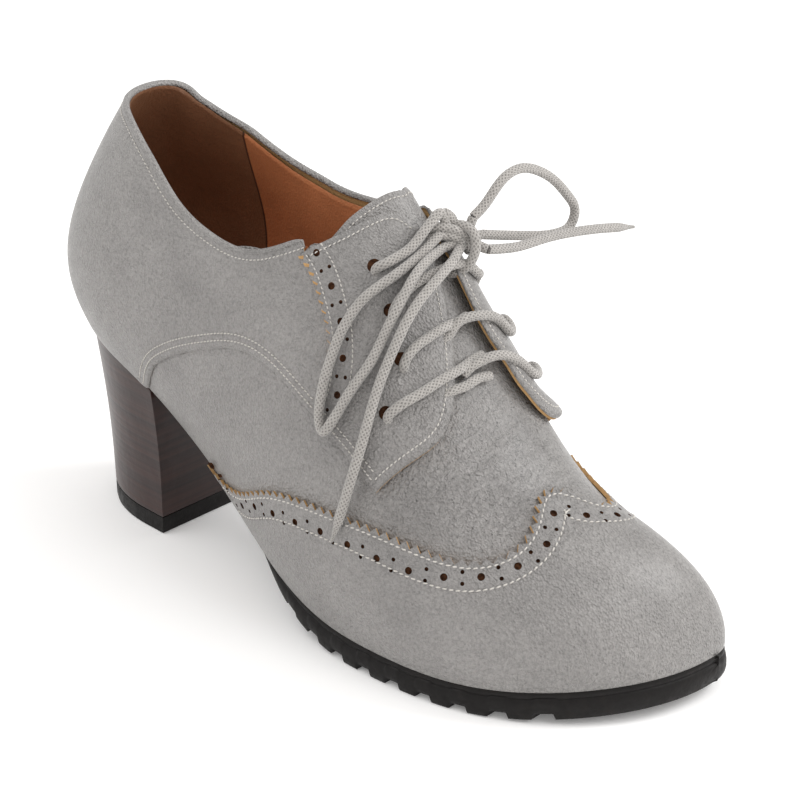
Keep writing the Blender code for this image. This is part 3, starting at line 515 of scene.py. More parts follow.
def to_skin(path, vectors):
    """Steps of along and around that carry points of the skin by the given vectors: least squares."""
    ahead, over, _ = slopes(path)
    aa, ao, oo = (ahead * ahead).sum(-1), (ahead * over).sum(-1), (over * over).sum(-1)
    va, vo = (vectors * ahead).sum(-1), (vectors * over).sum(-1)
    det = np.maximum(aa * oo - ao * ao, 1e-12)
    return np.stack([(va * oo - vo * ao) / det, (vo * aa - va * ao) / det], -1)


def sideways(path, distance):
    """Path moved over the skin by one distance, square to itself, to its left seen from outside."""
    ahead = unit(np.gradient(surface(path), axis=0))
    left = np.cross(slopes(path)[2], ahead)
    return path + to_skin(path, left * distance)


def run_of(points):
    """Distance of each point along a line of points."""
    return np.concatenate([[0], np.cumsum(np.linalg.norm(np.diff(points, axis=0), axis=1))])


def even(path, step):
    """Path on the skin with its points about a step apart."""
    run = run_of(surface(path))
    at = np.linspace(0, run[-1], max(2, int(round(run[-1] / step)) + 1))
    return np.stack([np.interp(at, run, path[:, i]) for i in range(2)], -1)


def drawn(rows, step=0.8 * MM):
    """Even path through hand-chosen rows of along and around."""
    return even(smooth_path(rows, 400), step)


def pinked(path, pitch, depth):
    """Path cut in teeth: points half a pitch apart, every other one moved in to the left."""
    teeth = even(path, 0.5 * pitch)
    inward = sideways(teeth, depth)
    teeth[1:-1:2] = inward[1:-1:2]
    return teeth


def wall_height(along, around):
    """How far up one side a skin point lies.

    That is its height behind the instep, blended over the instep into its share of the girth.
    """
    angle = (1 - np.abs(around)) * np.pi / 2
    tall = ridge_rise(place(along), 0.0) * np.abs(np.sin(angle)) ** (2 / SECTION["shoulder"](along))
    blend = ease((along - 0.40) / 0.10)
    return tall * (1 - blend) + 1.6 * HALF_GIRTH * (1 - np.abs(around)) * blend


def unrolled(path, side=0):
    """Flat millimetres of along and around, even where the plan closes at both ends.

    With a side, a piece of that side alone is laid out by its height up the wall.
    """
    along = path[..., 0]
    toe_part = 1 - TOE_CLOSING
    toe = TOE_CLOSING + toe_part * np.arcsin(np.clip((along - TOE_CLOSING) / toe_part, 0, 1))
    heel = HEEL_CLOSING * (1 - np.arcsin(np.clip(1 - along / HEEL_CLOSING, 0, 1)))
    flat = np.where(along > TOE_CLOSING, toe, np.where(along < HEEL_CLOSING, heel, along))
    up = -side * wall_height(along, np.clip(path[..., 1], -1, 1)) if side else path[..., 1] * HALF_GIRTH
    return np.stack([flat * LAST_LENGTH, up], -1) / MM


def rolled(flat, side=0):
    """Along and around from flat millimetres; a height up the wall is found by halving."""
    at = flat[..., 0] * MM / LAST_LENGTH
    toe_part = 1 - TOE_CLOSING
    toe = TOE_CLOSING + toe_part * np.sin(np.clip((at - TOE_CLOSING) / toe_part, 0, np.pi / 2))
    heel = HEEL_CLOSING * (1 - np.sin(np.clip(1 - at / HEEL_CLOSING, 0, np.pi / 2)))
    along = np.where(at > TOE_CLOSING, toe, np.where(at < HEEL_CLOSING, heel, at))
    if not side:
        return np.stack([along, flat[..., 1] * MM / HALF_GIRTH], -1)
    low, high = np.zeros(len(flat)), np.ones(len(flat))
    for _ in range(34):
        middle = 0.5 * (low + high)
        under = wall_height(along, 1 - middle) < -side * flat[..., 1] * MM
        low, high = np.where(under, middle, low), np.where(under, high, middle)
    return np.stack([along, side * (1 - 0.5 * (low + high))], -1)


def border_test(points, ring):
    """Whether flat points lie inside a closed ring, and how far they are from it."""
    a, b = ring, np.roll(ring, -1, 0)
    edge = b - a
    inside = np.empty(len(points), bool)
    gap = np.empty(len(points))
    for start in range(0, len(points), 1500):
        p = points[start:start + 1500, None]
        over = (a[:, 1] > p[..., 1]) != (b[:, 1] > p[..., 1])
        rise = np.where(np.abs(edge[:, 1]) < 1e-12, 1e-12, edge[:, 1])
        cross = a[:, 0] + (p[..., 1] - a[:, 1]) * edge[:, 0] / rise
        inside[start:start + 1500] = (over & (p[..., 0] < cross)).sum(1) % 2 == 1
        t = np.clip(((p - a) * edge).sum(-1) / np.maximum((edge * edge).sum(-1), 1e-12), 0, 1)
        gap[start:start + 1500] = np.sqrt(((p - a - t[..., None] * edge) ** 2).sum(-1).min(1))
    return inside, gap


def add_mesh(name, points, faces, slots, materials, corner_uv=None, weld=2e-6, sharp=40):
    """Piece from points and faces with a material for each face, near points welded, faces outwards."""
    mesh = bpy.data.meshes.new(name)
    mesh.from_pydata(np.asarray(points).tolist(), [], [tuple(map(int, f)) for f in faces])
    mesh.polygons.foreach_set("material_index", np.asarray(slots, np.int32))
    for material in materials:
        mesh.materials.append(material)
    if corner_uv is not None:
        mesh.uv_layers.new(name="flat").data.foreach_set("uv", np.asarray(corner_uv, np.float32).ravel())
    work = bmesh.new()
    work.from_mesh(mesh)
    bmesh.ops.remove_doubles(work, verts=work.verts, dist=weld)
    bmesh.ops.dissolve_degenerate(work, edges=work.edges, dist=1e-7)
    bmesh.ops.recalc_face_normals(work, faces=work.faces)
    if work.calc_volume(signed=True) < 0:
        bmesh.ops.reverse_faces(work, faces=work.faces)
    work.to_mesh(mesh)
    work.free()
    mesh.shade_smooth()
    mesh.set_sharp_from_angle(angle=np.radians(sharp))
    piece = bpy.data.objects.new(name, mesh)
    bpy.context.collection.objects.link(piece)
    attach(piece, BODY)
    return piece


FOLD_DROPS = ((0.30, 0.16), (0.80, 0.03))     # millimetres in from a folded edge, share of the thickness
RAW_DROPS = ((0.28, 0.02),)                   # the same for a cut edge
EDGE_DROP = {"fold": 0.5, "raw": 0.14, "open": 0.0}


def cut_sheet(outline, near, far, cells=2.2, holes=(), furrows=(), swell=None, side=0):
    """Leather cut to an outline and laid on the skin between two lifts.

    outline is a closed list of (path, edge), edge being fold, raw or open. Points in flat millimetres
    are joined in triangles, hole rims and outline kept, and then carried to the skin. The outer face
    drops near a folded or cut edge, at hole rims and along furrows. Returns points, faces and slots:
    0 face, 1 cut edge, 2 bottom of a hole, 3 back.
    """
    thick = far - near
    flat = [unrolled(path, side) for path, _ in outline]
    ring = np.concatenate([f[:-1] for f in flat])
    turned = np.roll(ring, -1, 0)
    if (ring[:, 0] * turned[:, 1] - turned[:, 0] * ring[:, 1]).sum() < 0:
        outline = [(path[::-1], edge) for path, edge in outline[::-1]]
        flat = [unrolled(path, side) for path, _ in outline]
        ring = np.concatenate([f[:-1] for f in flat])
    edges = np.concatenate([[edge] * (len(path) - 1) for path, edge in outline])
    before = np.roll(edges, 1)
    drop = np.maximum([EDGE_DROP[e] for e in edges], [EDGE_DROP[e] for e in before]) * thick
    points, drops = [ring], [drop]
    hole_start, hole_sizes, hole_paths = len(ring), [], []
    for along, around, radius, sides in holes:
        centre = np.repeat(np.array([[along, around]], float), sides, 0)
        ahead, _, out = slopes(centre)
        turn = np.arange(sides) * 2 * np.pi / sides
        ahead = unit(ahead)
        step = radius * (np.cos(turn)[:, None] * ahead + np.sin(turn)[:, None] * np.cross(out, ahead))
        hole_paths.append(unrolled(centre + to_skin(centre, step), side))
        hole_sizes.append(sides)
    hole_points = np.concatenate(hole_paths) if hole_paths else np.empty((0, 2))
    points.append(hole_points)
    drops.append(np.full(len(hole_points), 0.10 * thick))
    soft, soft_drop = [], []
    for path, edge in outline:
        for inset, part in {"fold": FOLD_DROPS, "raw": RAW_DROPS, "open": ()}[edge]:
            row = unrolled(sideways(path, inset * MM), side)
            inside, gap = border_test(row, ring)
            keep = inside & (gap > 0.6 * inset)
            soft.append(row[keep])
            soft_drop.append(np.full(keep.sum(), part * thick))
    for path, depth, half in furrows:
        for beside, part in ((-half, 0.0), (0.0, 1.0), (half, 0.0)):
            row = unrolled(sideways(path, beside), side)
            inside, gap = border_test(row, ring)
            keep = inside & (gap > 0.9)
            soft.append(row[keep])
            soft_drop.append(np.full(keep.sum(), part * depth))
    low, high = ring.min(0), ring.max(0)
    gx, gy = np.meshgrid(np.arange(low[0], high[0], cells), np.arange(low[1], high[1], 0.9 * cells),
                         indexing="ij")
    gx = gx + 0.5 * cells * (np.arange(gx.shape[1]) % 2)
    grid = np.stack([gx.ravel(), gy.ravel()], -1)
    inside, gap = border_test(grid, ring)
    grid = grid[inside & (gap > 0.55 * cells)]
    taken = np.concatenate(soft + [hole_points])
    if len(taken):
        far_off = np.ones(len(grid), bool)
        for start in range(0, len(grid), 1500):
            g = grid[start:start + 1500]
            gap = ((g[:, None] - taken[None]) ** 2).sum(-1).min(1)
            far_off[start:start + 1500] = gap > (0.4 * cells) ** 2
        grid = grid[far_off]
    if len(hole_points) and soft:
        centres = np.array([p.mean(0) for p in hole_paths])
        sizes = np.array([np.linalg.norm(p - p.mean(0), axis=1).max() for p in hole_paths])
        for i, row in enumerate(soft):
            gap = np.linalg.norm(row[:, None] - centres[None], axis=-1) - sizes
            keep = gap.min(1) > 0.25
            soft[i], soft_drop[i] = row[keep], soft_drop[i][keep]
        grid = grid[(np.linalg.norm(grid[:, None] - centres[None], axis=-1) - sizes).min(1) > 0.5]
    points = np.concatenate(points + soft + [grid])
    drops = np.concatenate(drops + soft_drop + [np.zeros(len(grid))])
    count = len(ring)
    fixed = [(i, (i + 1) % count) for i in range(count)]
    owner = np.full(len(points), -1)
    at = hole_start
    for h, sides in enumerate(hole_sizes):
        fixed.extend((at + i, at + (i + 1) % sides) for i in range(sides))
        owner[at:at + sides] = h
        at += sides
    made = delaunay_2d_cdt([Vector(p) for p in points.tolist()], fixed, [], 1, 1e-5, True)
    plane = np.array([tuple(v) for v in made[0]])
    came = np.array([ids[0] if ids else -1 for ids in made[3]])
    faces = np.array([f for f in made[2] if len(f) == 3])
    faces = faces[border_test(plane[faces].mean(1), ring)[0]]
    drops = np.where(came >= 0, drops[came], 0.0)
    owner = np.where(came >= 0, owner[came], -1)
    place_of = np.full(len(points), -1)
    for new, ids in enumerate(made[3]):
        for old in ids:
            place_of[old] = new
    path = rolled(plane, side)
    extra = swell(path) if swell else 0.0
    upper = surface(path, far - drops + extra)
    lower = surface(path, near + extra)
    owners = owner[faces]
    pit = (owners[:, 0] >= 0) & (owners[:, 0] == owners[:, 1]) & (owners[:, 1] == owners[:, 2])
    size = len(plane)
    all_points = [upper, lower]
    all_faces = [faces[~pit], faces[:, ::-1] + size]
    slots = [np.zeros((~pit).sum()), np.full(len(faces), 3)]
    quads, walls = [], []
    for i in range(count):
        if edges[i] != "open":
            a, b = place_of[i], place_of[(i + 1) % count]
            quads.append((a, a + size, b + size, b))
            walls.append(0 if edges[i] == "fold" else 1)
    if len(hole_points):
        floor_of = np.full(size, -1)
        rim = np.unique(place_of[hole_start:hole_start + len(hole_points)])
        floor_of[rim] = 2 * size + np.arange(len(rim))
        deep = surface(path[rim], near + 0.15 * thick + (extra if np.ndim(extra) == 0 else extra[rim]))
        all_points.append(deep)
        at = hole_start
        for sides in hole_sizes:
            loop = place_of[at:at + sides]
            quads.extend((loop[i], loop[(i + 1) % sides], floor_of[loop[(i + 1) % sides]], floor_of[loop[i]])
                         for i in range(sides))
            at += sides
        all_faces.append(floor_of[faces[pit]])
        slots.append(np.full(pit.sum(), 2))
    faces = [tuple(f) for group in all_faces for f in group] + quads
    walls += [2] * (len(quads) - len(walls))
    return np.concatenate(all_points), faces, np.concatenate(slots + [np.array(walls)])


def joined(parts):
    """Several point, face and slot sets as one."""
    points, faces, slots, start = [], [], [], 0
    for p, f, s in parts:
        points.append(p)
        faces.extend(tuple(i + start for i in face) for face in f)
        slots.append(np.asarray(s))
        start += len(p)
    return np.concatenate(points), faces, np.concatenate(slots)


def tube_quads(rows, columns):
    """Faces between rings of points that follow each other."""
    i, j = np.meshgrid(np.arange(rows - 1), np.arange(columns), indexing="ij")
    m = (j + 1) % columns
    corners = [i * columns + j, i * columns + m, (i + 1) * columns + m, (i + 1) * columns + j]
    return np.stack(corners, -1).reshape(-1, 4)


def ring_solid(rings):
    """Closed solid through equal rings: side quads and two end faces."""
    rows, columns = rings.shape[:2]
    faces = [tuple(f) for f in tube_quads(rows, columns)]
    faces += [tuple(range(columns))[::-1], tuple(range((rows - 1) * columns, rows * columns))]
    return rings.reshape(-1, 3), faces, np.zeros(len(faces))


def stitches(path, lift, pitch, radius, slant=0.10):
    """Thread along a path: each stitch is a capsule whose ends dip into the leather.

    Ring radius is radius * sqrt(1 - (2t)^4 * 0.85) and its height radius * (0.75 - 3.2 t^2), for t
    from -1/2 to 1/2 along the stitch.
    """
    dense = even(path, 0.4 * MM)
    points = surface(dense, lift)
    out = slopes(dense)[2]
    run = run_of(points)
    count = int(run[-1] / pitch)
    centre = (np.arange(count) + 0.5) * run[-1] / count
    t = np.linspace(-0.5, 0.5, 5)
    at = centre[:, None] + t * SHARE_LONG * pitch

    def along_path(values):
        return np.stack([np.interp(at, run, values[:, i]) for i in range(3)], -1)

    spine, up = along_path(points), unit(along_path(out))
    ahead = unit(np.gradient(spine, axis=1))
    side = unit(np.cross(up, ahead))
    spine = spine + (radius * (0.75 - 3.2 * t * t))[None, :, None] * up
    spine = spine + side * (slant * pitch * t)[None, :, None]
    turn = np.arange(6) * np.pi / 3
    ring = radius * np.sqrt(1 - (2 * t) ** 4 * 0.85)
    shell = spine[:, :, None] + ring[None, :, None, None] * (
        np.cos(turn)[:, None] * side[:, :, None] + np.sin(turn)[:, None] * up[:, :, None])
    base = (np.arange(count) * 30)[:, None, None]
    quads = (tube_quads(5, 6)[None] + base).reshape(-1, 4)
    caps = np.concatenate([np.arange(6)[::-1][None] + base[:, 0], np.arange(24, 30)[None] + base[:, 0]])
    faces = [tuple(f) for f in quads] + [tuple(f) for f in caps]
    return shell.reshape(-1, 3), faces, np.zeros(len(faces))


def section_along(spine, side, up, profile):
    """Solid made by carrying a profile of (side, up) offsets along a spine."""
    return ring_solid(spine[:, None] + profile[..., 0:1] * side[:, None] + profile[..., 1:2] * up[:, None])


def smooth_line(route, step):
    """Points a step apart on a smooth curve through a route's points."""
    route = np.asarray(route, float)
    run = run_of(route)
    at = np.linspace(0, run[-1], int(np.ceil(run[-1] / step)) + 1)
    return np.stack([natural_spline(run, route[:, i])(at) for i in range(3)], -1)


def carried_frame(spine):
    """Two directions square to a spine, turned as little as they can be from point to point."""
    ahead = unit(np.gradient(spine, axis=0))
    side = np.empty_like(spine)
    pick = np.array([0.0, 0.0, 1.0]) if abs(ahead[0, 2]) < 0.9 else np.array([0.0, 1.0, 0.0])
    side[0] = unit(np.cross(ahead[0], pick))
    for i in range(1, len(spine)):
        kept = side[i - 1] - ahead[i] * (side[i - 1] @ ahead[i])
        side[i] = kept / np.linalg.norm(kept)
    return side, np.cross(ahead, side)


def lace_tube(spine, radius=0.5 * LACE, sides=14, taper=0.0, tip=0.35):
    """Round lace along a spine with rounded ends; taper is the length over which it thins to its tip."""
    run = run_of(spine)
    left = run[-1] - run
    size = radius * np.ones(len(spine))
    if taper:
        size = size * (tip + (1 - tip) * ease(left / taper))
    size[0] *= 0.92
    size[-1] *= 0.92
    side, up = carried_frame(spine)
    turn = np.arange(sides) * 2 * np.pi / sides
    profile = size[:, None, None] * np.stack([np.cos(turn), np.sin(turn)], -1)
    points, faces, slots = section_along(spine, side, up, profile)
    uv = []
    for face in faces:
        uv.extend((run[i // sides], radius * 2 * np.pi * (i % sides) / sides) for i in face)
    uv = np.array(uv)
    quads = (len(spine) - 1) * sides
    wrap = uv[:4 * quads].reshape(-1, 4, 2)
    seam = (np.arange(quads) % sides) == sides - 1
    wrap[seam, 1:3, 1] = radius * 2 * np.pi
    return points, faces, slots, uv


def tint(colour, factor):
    """Colour made darker or lighter by a factor."""
    return tuple(factor * c for c in colour)


def linear(red, green, blue):
    """Scene colour from a screen colour of 0 to 255."""
    c = np.array([red, green, blue]) / 255
    return tuple(np.where(c < 0.04045, c / 12.92, ((c + 0.055) / 1.055) ** 2.4))


def start_material(name, colour, roughness, specular=0.5, coat=0.0, coat_roughness=0.2, sheen=0.0):
    """New material and its shader, with the finish's even values."""
    material = bpy.data.materials.new(name)
    material.use_nodes = True
    shader = material.node_tree.nodes["Principled BSDF"]
    shader.inputs["Base Color"].default_value = (*colour, 1.0)
    shader.inputs["Roughness"].default_value = roughness
    shader.inputs["Specular IOR Level"].default_value = specular
    shader.inputs["Coat Weight"].default_value = coat
    shader.inputs["Coat Roughness"].default_value = coat_roughness
    shader.inputs["Sheen Weight"].default_value = sheen
    return material, shader


def join(material, start, end):
    """Links one socket to another."""
    material.node_tree.links.new(start, end)


def position(material, scale=(1, 1, 1), rotation=(0, 0, 0), source="Object"):
    """Object coordinates in metres, scaled and turned, or the piece's own UV."""
    nodes = material.node_tree.nodes
    mapping = nodes.new("ShaderNodeMapping")
    mapping.inputs["Scale"].default_value = scale
    mapping.inputs["Rotation"].default_value = rotation
    join(material, nodes.new("ShaderNodeTexCoord").outputs[source], mapping.inputs["Vector"])
    return mapping.outputs["Vector"]


def noise(material, vector, scale, detail=3.0, roughness=0.55, distortion=0.0):
    """Cloudy grey value."""
    node = material.node_tree.nodes.new("ShaderNodeTexNoise")
    node.inputs["Scale"].default_value = scale
    node.inputs["Detail"].default_value = detail
    node.inputs["Roughness"].default_value = roughness
    node.inputs["Distortion"].default_value = distortion
    join(material, vector, node.inputs["Vector"])
    return node.outputs["Fac"]


def pebbles(material, vector, scale):
    """Grey value that grows from the middle of each small cell."""
    node = material.node_tree.nodes.new("ShaderNodeTexVoronoi")
    node.inputs["Scale"].default_value = scale
    join(material, vector, node.inputs["Vector"])
    return node.outputs["Distance"]


def ramp(material, value, stops):
    """Colour, or grey, by value: stops of (place, colour or grey)."""
    node = material.node_tree.nodes.new("ShaderNodeValToRGB")
    while len(node.color_ramp.elements) < len(stops):
        node.color_ramp.elements.new(0.5)
    for element, (at, colour) in zip(node.color_ramp.elements, stops):
        element.position = at
        element.color = (*colour, 1.0) if isinstance(colour, tuple) else (colour, colour, colour, 1.0)
    join(material, value, node.inputs["Fac"])
    return node.outputs["Color"]


def mixed(material, share_of, first, second, kind="MIX"):
    """Second colour laid over the first by a share, each a colour or a socket."""
    node = material.node_tree.nodes.new("ShaderNodeMixRGB")
    node.blend_type = kind
    for socket, value in zip(("Fac", "Color1", "Color2"), (share_of, first, second)):
        if isinstance(value, bpy.types.NodeSocket):
            join(material, value, node.inputs[socket])
        elif socket == "Fac":
            node.inputs[socket].default_value = value
        else:
            node.inputs[socket].default_value = (*value, 1.0)
    return node.outputs["Color"]


def sums(material, kind, first, second):
    """Result of a sum of the given kind, each value a number or a socket."""
    node = material.node_tree.nodes.new("ShaderNodeMath")
    node.operation = kind
    for i, value in enumerate((first, second)):
        if isinstance(value, bpy.types.NodeSocket):
            join(material, value, node.inputs[i])
        else:
            node.inputs[i].default_value = value
    return node.outputs["Value"]


def near_point(material, point, radius):
    """1 at a point of the shoe, down to 0 at a radius from it."""
    nodes = material.node_tree.nodes
    reach = nodes.new("ShaderNodeVectorMath")
    reach.operation = "DISTANCE"
    join(material, nodes.new("ShaderNodeTexCoord").outputs["Object"], reach.inputs[0])
    reach.inputs[1].default_value = point
    spread = nodes.new("ShaderNodeMapRange")
    spread.interpolation_type = "SMOOTHSTEP"
    spread.inputs["From Min"].default_value = 0.0
    spread.inputs["From Max"].default_value = radius
    spread.inputs["To Min"].default_value = 1.0
    spread.inputs["To Max"].default_value = 0.0
    join(material, reach.outputs["Value"], spread.inputs["Value"])
    return spread.outputs["Result"]


def bumped(material, shader, height, distance, strength=1.0, normal=None):
    """Relief from a grey value, laid over an earlier relief where one is given."""
    node = material.node_tree.nodes.new("ShaderNodeBump")
    node.inputs["Distance"].default_value = distance
    node.inputs["Strength"].default_value = strength
    join(material, height, node.inputs["Height"])
    if normal is not None:
        join(material, normal, node.inputs["Normal"])
    join(material, node.outputs["Normal"], shader.inputs["Normal"])
    return node.outputs["Normal"]


def grey_leather():
    """Grey leather: cloudy tone, pebbled grain with fine lines, close wrinkles over the vamp, soft gloss."""
    look = bpy.context.scene.shoe_looks
    material, shader = start_material("leather_face", look.leather, 0.46, 0.5, 0.32, 0.32)
    here = position(material)
    cloud = noise(material, here, 38, 4, 0.6)
    tone = ramp(material, cloud, ((0.30, tint(look.leather, 0.84)), (0.52, tuple(look.leather)),
                                  (0.75, tint(look.leather, 1.10))))
    speck = ramp(material, noise(material, here, 1000, 3, 0.7), ((0.36, 0.76), (0.52, 1.0), (0.70, 1.08)))
    colour = mixed(material, 0.80, tone, mixed(material, 1.0, tone, speck, "MULTIPLY"))
    wear = ramp(material, noise(material, here, 130, 4, 0.7, 0.6), ((0.60, 0.0), (0.74, 1.0)))
    colour = mixed(material, sums(material, "MULTIPLY", wear, 0.18), colour, tint(look.leather, 0.62))
    join(material, colour, shader.inputs["Base Color"])
    gloss = ramp(material, noise(material, here, 210, 3), ((0.3, 0.38), (0.7, 0.54)))
    join(material, gloss, shader.inputs["Roughness"])
    wavy = position(material, (1.0, 1.3, 1.0), (0.3, 0.5, 0.2))
    grain = pebbles(material, wavy, 1100)
    first = bumped(material, shader, grain, 0.00110, 0.75)
    lines = noise(material, position(material, (0.55, 1.5, 1.0), (0.0, 0.25, 0.35)), 560, 4, 0.65, 0.9)
    second = bumped(material, shader, lines, 0.0012, 0.55, first)
    fold = noise(material, position(material, (2.4, 0.8, 1.1), (0.1, 0.35, 0.55)), 300, 4, 0.65, 0.8)
    worn = sums(material, "MULTIPLY", near_point(material, BEND_AT, BEND_REACH), fold)
    third = bumped(material, shader, worn, 0.0030, 0.80, second)
    broad = noise(material, here, 55, 3, 0.5, 0.5)
    bumped(material, shader, broad, 0.0022, 0.45, third)
    return material


def cut_edge():
    """Raw tan edge of the cut leather, fibrous."""
    look = bpy.context.scene.shoe_looks
    material, shader = start_material("leather_cut", look.edge, 0.8, 0.2)
    fibre = noise(material, position(material), 1100, 4, 0.7)
    join(material, ramp(material, fibre, ((0.3, tint(look.edge, 0.7)), (0.7, tuple(look.edge)))),
         shader.inputs["Base Color"])
    bumped(material, shader, fibre, 0.0003, 0.6)
    return material


def shaded_pit_floor():
    """Lining seen at the bottom of a punched hole."""
    # painted shade: hole walls and floors get a dark brown, far darker than the leather below, for the shade
    # inside the hole
    material, shader = start_material("painted_shade_hole_floor", linear(70, 46, 32), 0.9, 0.1)
    shade = noise(material, position(material), 800, 2)
    tone = ramp(material, shade, ((0.3, linear(46, 30, 22)), (0.7, linear(92, 60, 40))))
    join(material, tone, shader.inputs["Base Color"])
    return material


def thread():
    """Pale twisted thread of the stitch rows."""
    look = bpy.context.scene.shoe_looks
    material, shader = start_material("thread", look.thread, 0.7, 0.3, sheen=0.3)
    twist = noise(material, position(material), 2600, 2, 0.6)
    join(material, ramp(material, twist, ((0.3, tint(look.thread, 0.75)), (0.6, tuple(look.thread)))),
         shader.inputs["Base Color"])
    bumped(material, shader, twist, 0.0001, 0.6)
    return material


def lining_leather():
    """Brown lining: a darker counter piece behind a seam at the ankle, a lighter one ahead of it."""
    material, shader = start_material("lining_face", linear(170, 112, 78), 0.50, 0.4, 0.12, 0.3)
    here = position(material)
    split = material.node_tree.nodes.new("ShaderNodeSeparateXYZ")
    join(material, here, split.inputs["Vector"])
    slanted = sums(material, "ADD", split.outputs["X"], sums(material, "MULTIPLY", split.outputs["Z"], -0.06))
    reach = material.node_tree.nodes.new("ShaderNodeMapRange")
    reach.inputs["From Min"].default_value = 0.000
    reach.inputs["From Max"].default_value = 0.020
    join(material, slanted, reach.inputs["Value"])
    seam = ramp(material, reach.outputs["Result"], ((0.46, linear(132, 92, 66)), (0.48, linear(70, 46, 32)),
                                                    (0.51, linear(76, 48, 32)), (0.53, linear(196, 126, 84))))
    tone = ramp(material, noise(material, here, 45, 4, 0.6), ((0.30, 0.78), (0.7, 1.0)))
    join(material, mixed(material, 1.0, seam, tone, "MULTIPLY"), shader.inputs["Base Color"])
    grain = bumped(material, shader, pebbles(material, here, 1200), 0.00025, 0.5)
    bumped(material, shader, noise(material, here, 240, 4, 0.6), 0.0006, 0.4, grain)
    return material


def sole_rubber():
    """Dark satin rubber, dusty and lightly scuffed low down."""
    material, shader = start_material("sole_face", linear(15, 12, 11), 0.45, 0.22)
    here = position(material)
    scuff = ramp(material, noise(material, here, 150, 5, 0.7, 0.8), ((0.52, 0.0), (0.72, 1.0)))
    colour = mixed(material, sums(material, "MULTIPLY", scuff, 0.20), linear(14, 11, 10), linear(48, 42, 38))
    join(material, colour, shader.inputs["Base Color"])
    gloss = ramp(material, noise(material, here, 320, 3), ((0.3, 0.36), (0.7, 0.62)))
    join(material, gloss, shader.inputs["Roughness"])
    bumped(material, shader, noise(material, here, 700, 4, 0.6), 0.0003, 0.5)
    return material


def stacked_leather():
    """Polished dark brown lifts: level lines on the heel, uneven in tone, each a little proud of the next."""
    material, shader = start_material("heel_face", linear(44, 25, 22), 0.36, 0.32, 0.14, 0.2)
    here = position(material)
    lifts = noise(material, position(material, (6, 6, 420)), 1.0, 2, 0.5)
    tone = ramp(material, lifts, ((0.32, linear(34, 19, 17)), (0.5, linear(46, 26, 23)),
                                  (0.68, linear(60, 35, 29))))
    cloud = ramp(material, noise(material, here, 60, 4, 0.6), ((0.3, 0.72), (0.7, 1.0)))
    colour = mixed(material, 0.8, tone, mixed(material, 1.0, tone, cloud, "MULTIPLY"))
    join(material, colour, shader.inputs["Base Color"])
    fine = noise(material, position(material, (20, 20, 1500)), 1.0, 2, 0.5)
    first = bumped(material, shader, lifts, 0.00035, 0.45)
    second = bumped(material, shader, fine, 0.00012, 0.4, first)
    bumped(material, shader, noise(material, here, 160, 3, 0.5), 0.0006, 0.3, second)
    return material


def woven_lace():
    """Round braid: two sets of slanted ridges from the lace's own length and girth."""
    look = bpy.context.scene.shoe_looks
    material, shader = start_material("lace_braid", look.lace, 0.72, 0.3, sheen=0.35)
    waves = []
    for slant in (1, -1):
        wave = material.node_tree.nodes.new("ShaderNodeTexWave")
        wave.wave_type = "BANDS"
        wave.bands_direction = "X"
        wave.wave_profile = "SIN"
        wave.inputs["Scale"].default_value = 1.0
        wave.inputs["Distortion"].default_value = 0.0
        turned = position(material, (310, 310, 310), (0, 0, slant * 0.86), "UV")
        join(material, turned, wave.inputs["Vector"])
        waves.append(wave.outputs["Fac"])
    weave = sums(material, "MAXIMUM", waves[0], waves[1])
    # painted shade: the low grooves of the weave are darkened to about half the lace's colour, and the ridges
    # keep the full colour
    tone = ramp(material, weave, ((0.25, tint(look.lace, 0.52)), (0.72, tuple(look.lace))))
    flecks = ramp(material, noise(material, position(material), 700, 3, 0.7), ((0.3, 0.80), (0.6, 1.0)))
    join(material, mixed(material, 1.0, tone, flecks, "MULTIPLY"), shader.inputs["Base Color"])
    bumped(material, shader, weave, 0.00035, 0.8)
    return material


MATERIALS = {grey_leather: "leather_face", cut_edge: "leather_cut", shaded_pit_floor: "painted_shade_hole_floor", thread: "thread",
             lining_leather: "lining_face", sole_rubber: "sole_face", stacked_leather: "heel_face",
             woven_lace: "lace_braid"}


def shared(make):
    """The material that make builds, built once."""
    return bpy.data.materials.get(MATERIALS[make]) or make()


def leather_set():
    """Materials of a leather sheet by slot: face, cut edge, bottom of a hole, back."""
    return [shared(grey_leather), shared(cut_edge), shared(shaded_pit_floor), shared(cut_edge)]


def mirrored(outline):
    """Outline of the outer side carried over to the inner side."""
    return [(path[::-1] * FLIP, edge) for path, edge in outline[::-1]]


def mirrored_furrows(furrows):
    """Furrows of the outer side carried over to the inner side."""
    return [(path[::-1] * FLIP, depth, half) for path, depth, half in furrows]


def furrow_rows(path, insets, depth, half=0.8 * MM):
    """Furrows beside an edge, as line, depth and half width."""
    return [(sideways(path, inset), depth, half) for inset in insets]


def level_path(start, stop, around, count=120):
    """Path along a feather edge or the ridge, close together where the plan turns."""
    ends = unrolled(np.array([(start, around), (stop, around)], float))
    return rolled(ends[:1] + (ends[1:] - ends[:1]) * np.linspace(0, 1, count)[:, None])


def top_of_collar(side, start, stop, count=70):
    """Collar edge of one side, close together where the plan turns."""
    flat = level_path(start, stop, 0.0, count)[:, 0]
    return collar_path(side, flat)


def collar_rim(side, stop):
    """Collar edge of one side from the heel's back to stop, as if on the outer side."""
    rim = top_of_collar(side, 0.0, stop)
    rim[:, 1] = -np.abs(rim[:, 1])
    return rim


def arc_seam():
    """Arc seam of the outer quarter, from the flap's tip to the waist."""
    return drawn(raised(-1, QUARTER_SEAM))


def tongue_rim():
    """Top edge of the tongue from side to side."""
    top = np.array(TONGUE_TOP)
    half = drawn(np.stack([top[:, 0], -(1 - top[:, 1])], -1))
    return np.concatenate([half, (half * FLIP)[-2::-1]])


def flap_rows(side):
    """Top and front edges of a lace flap as if on the outer side, from the collar to the arc seam."""
    top, front = (FLAP_TOP_OUTER, FLAP_FRONT_OUTER) if side < 0 else (FLAP_TOP_INNER, FLAP_FRONT_INNER)
    return drawn(raised(-1, top)), drawn(raised(-1, front))


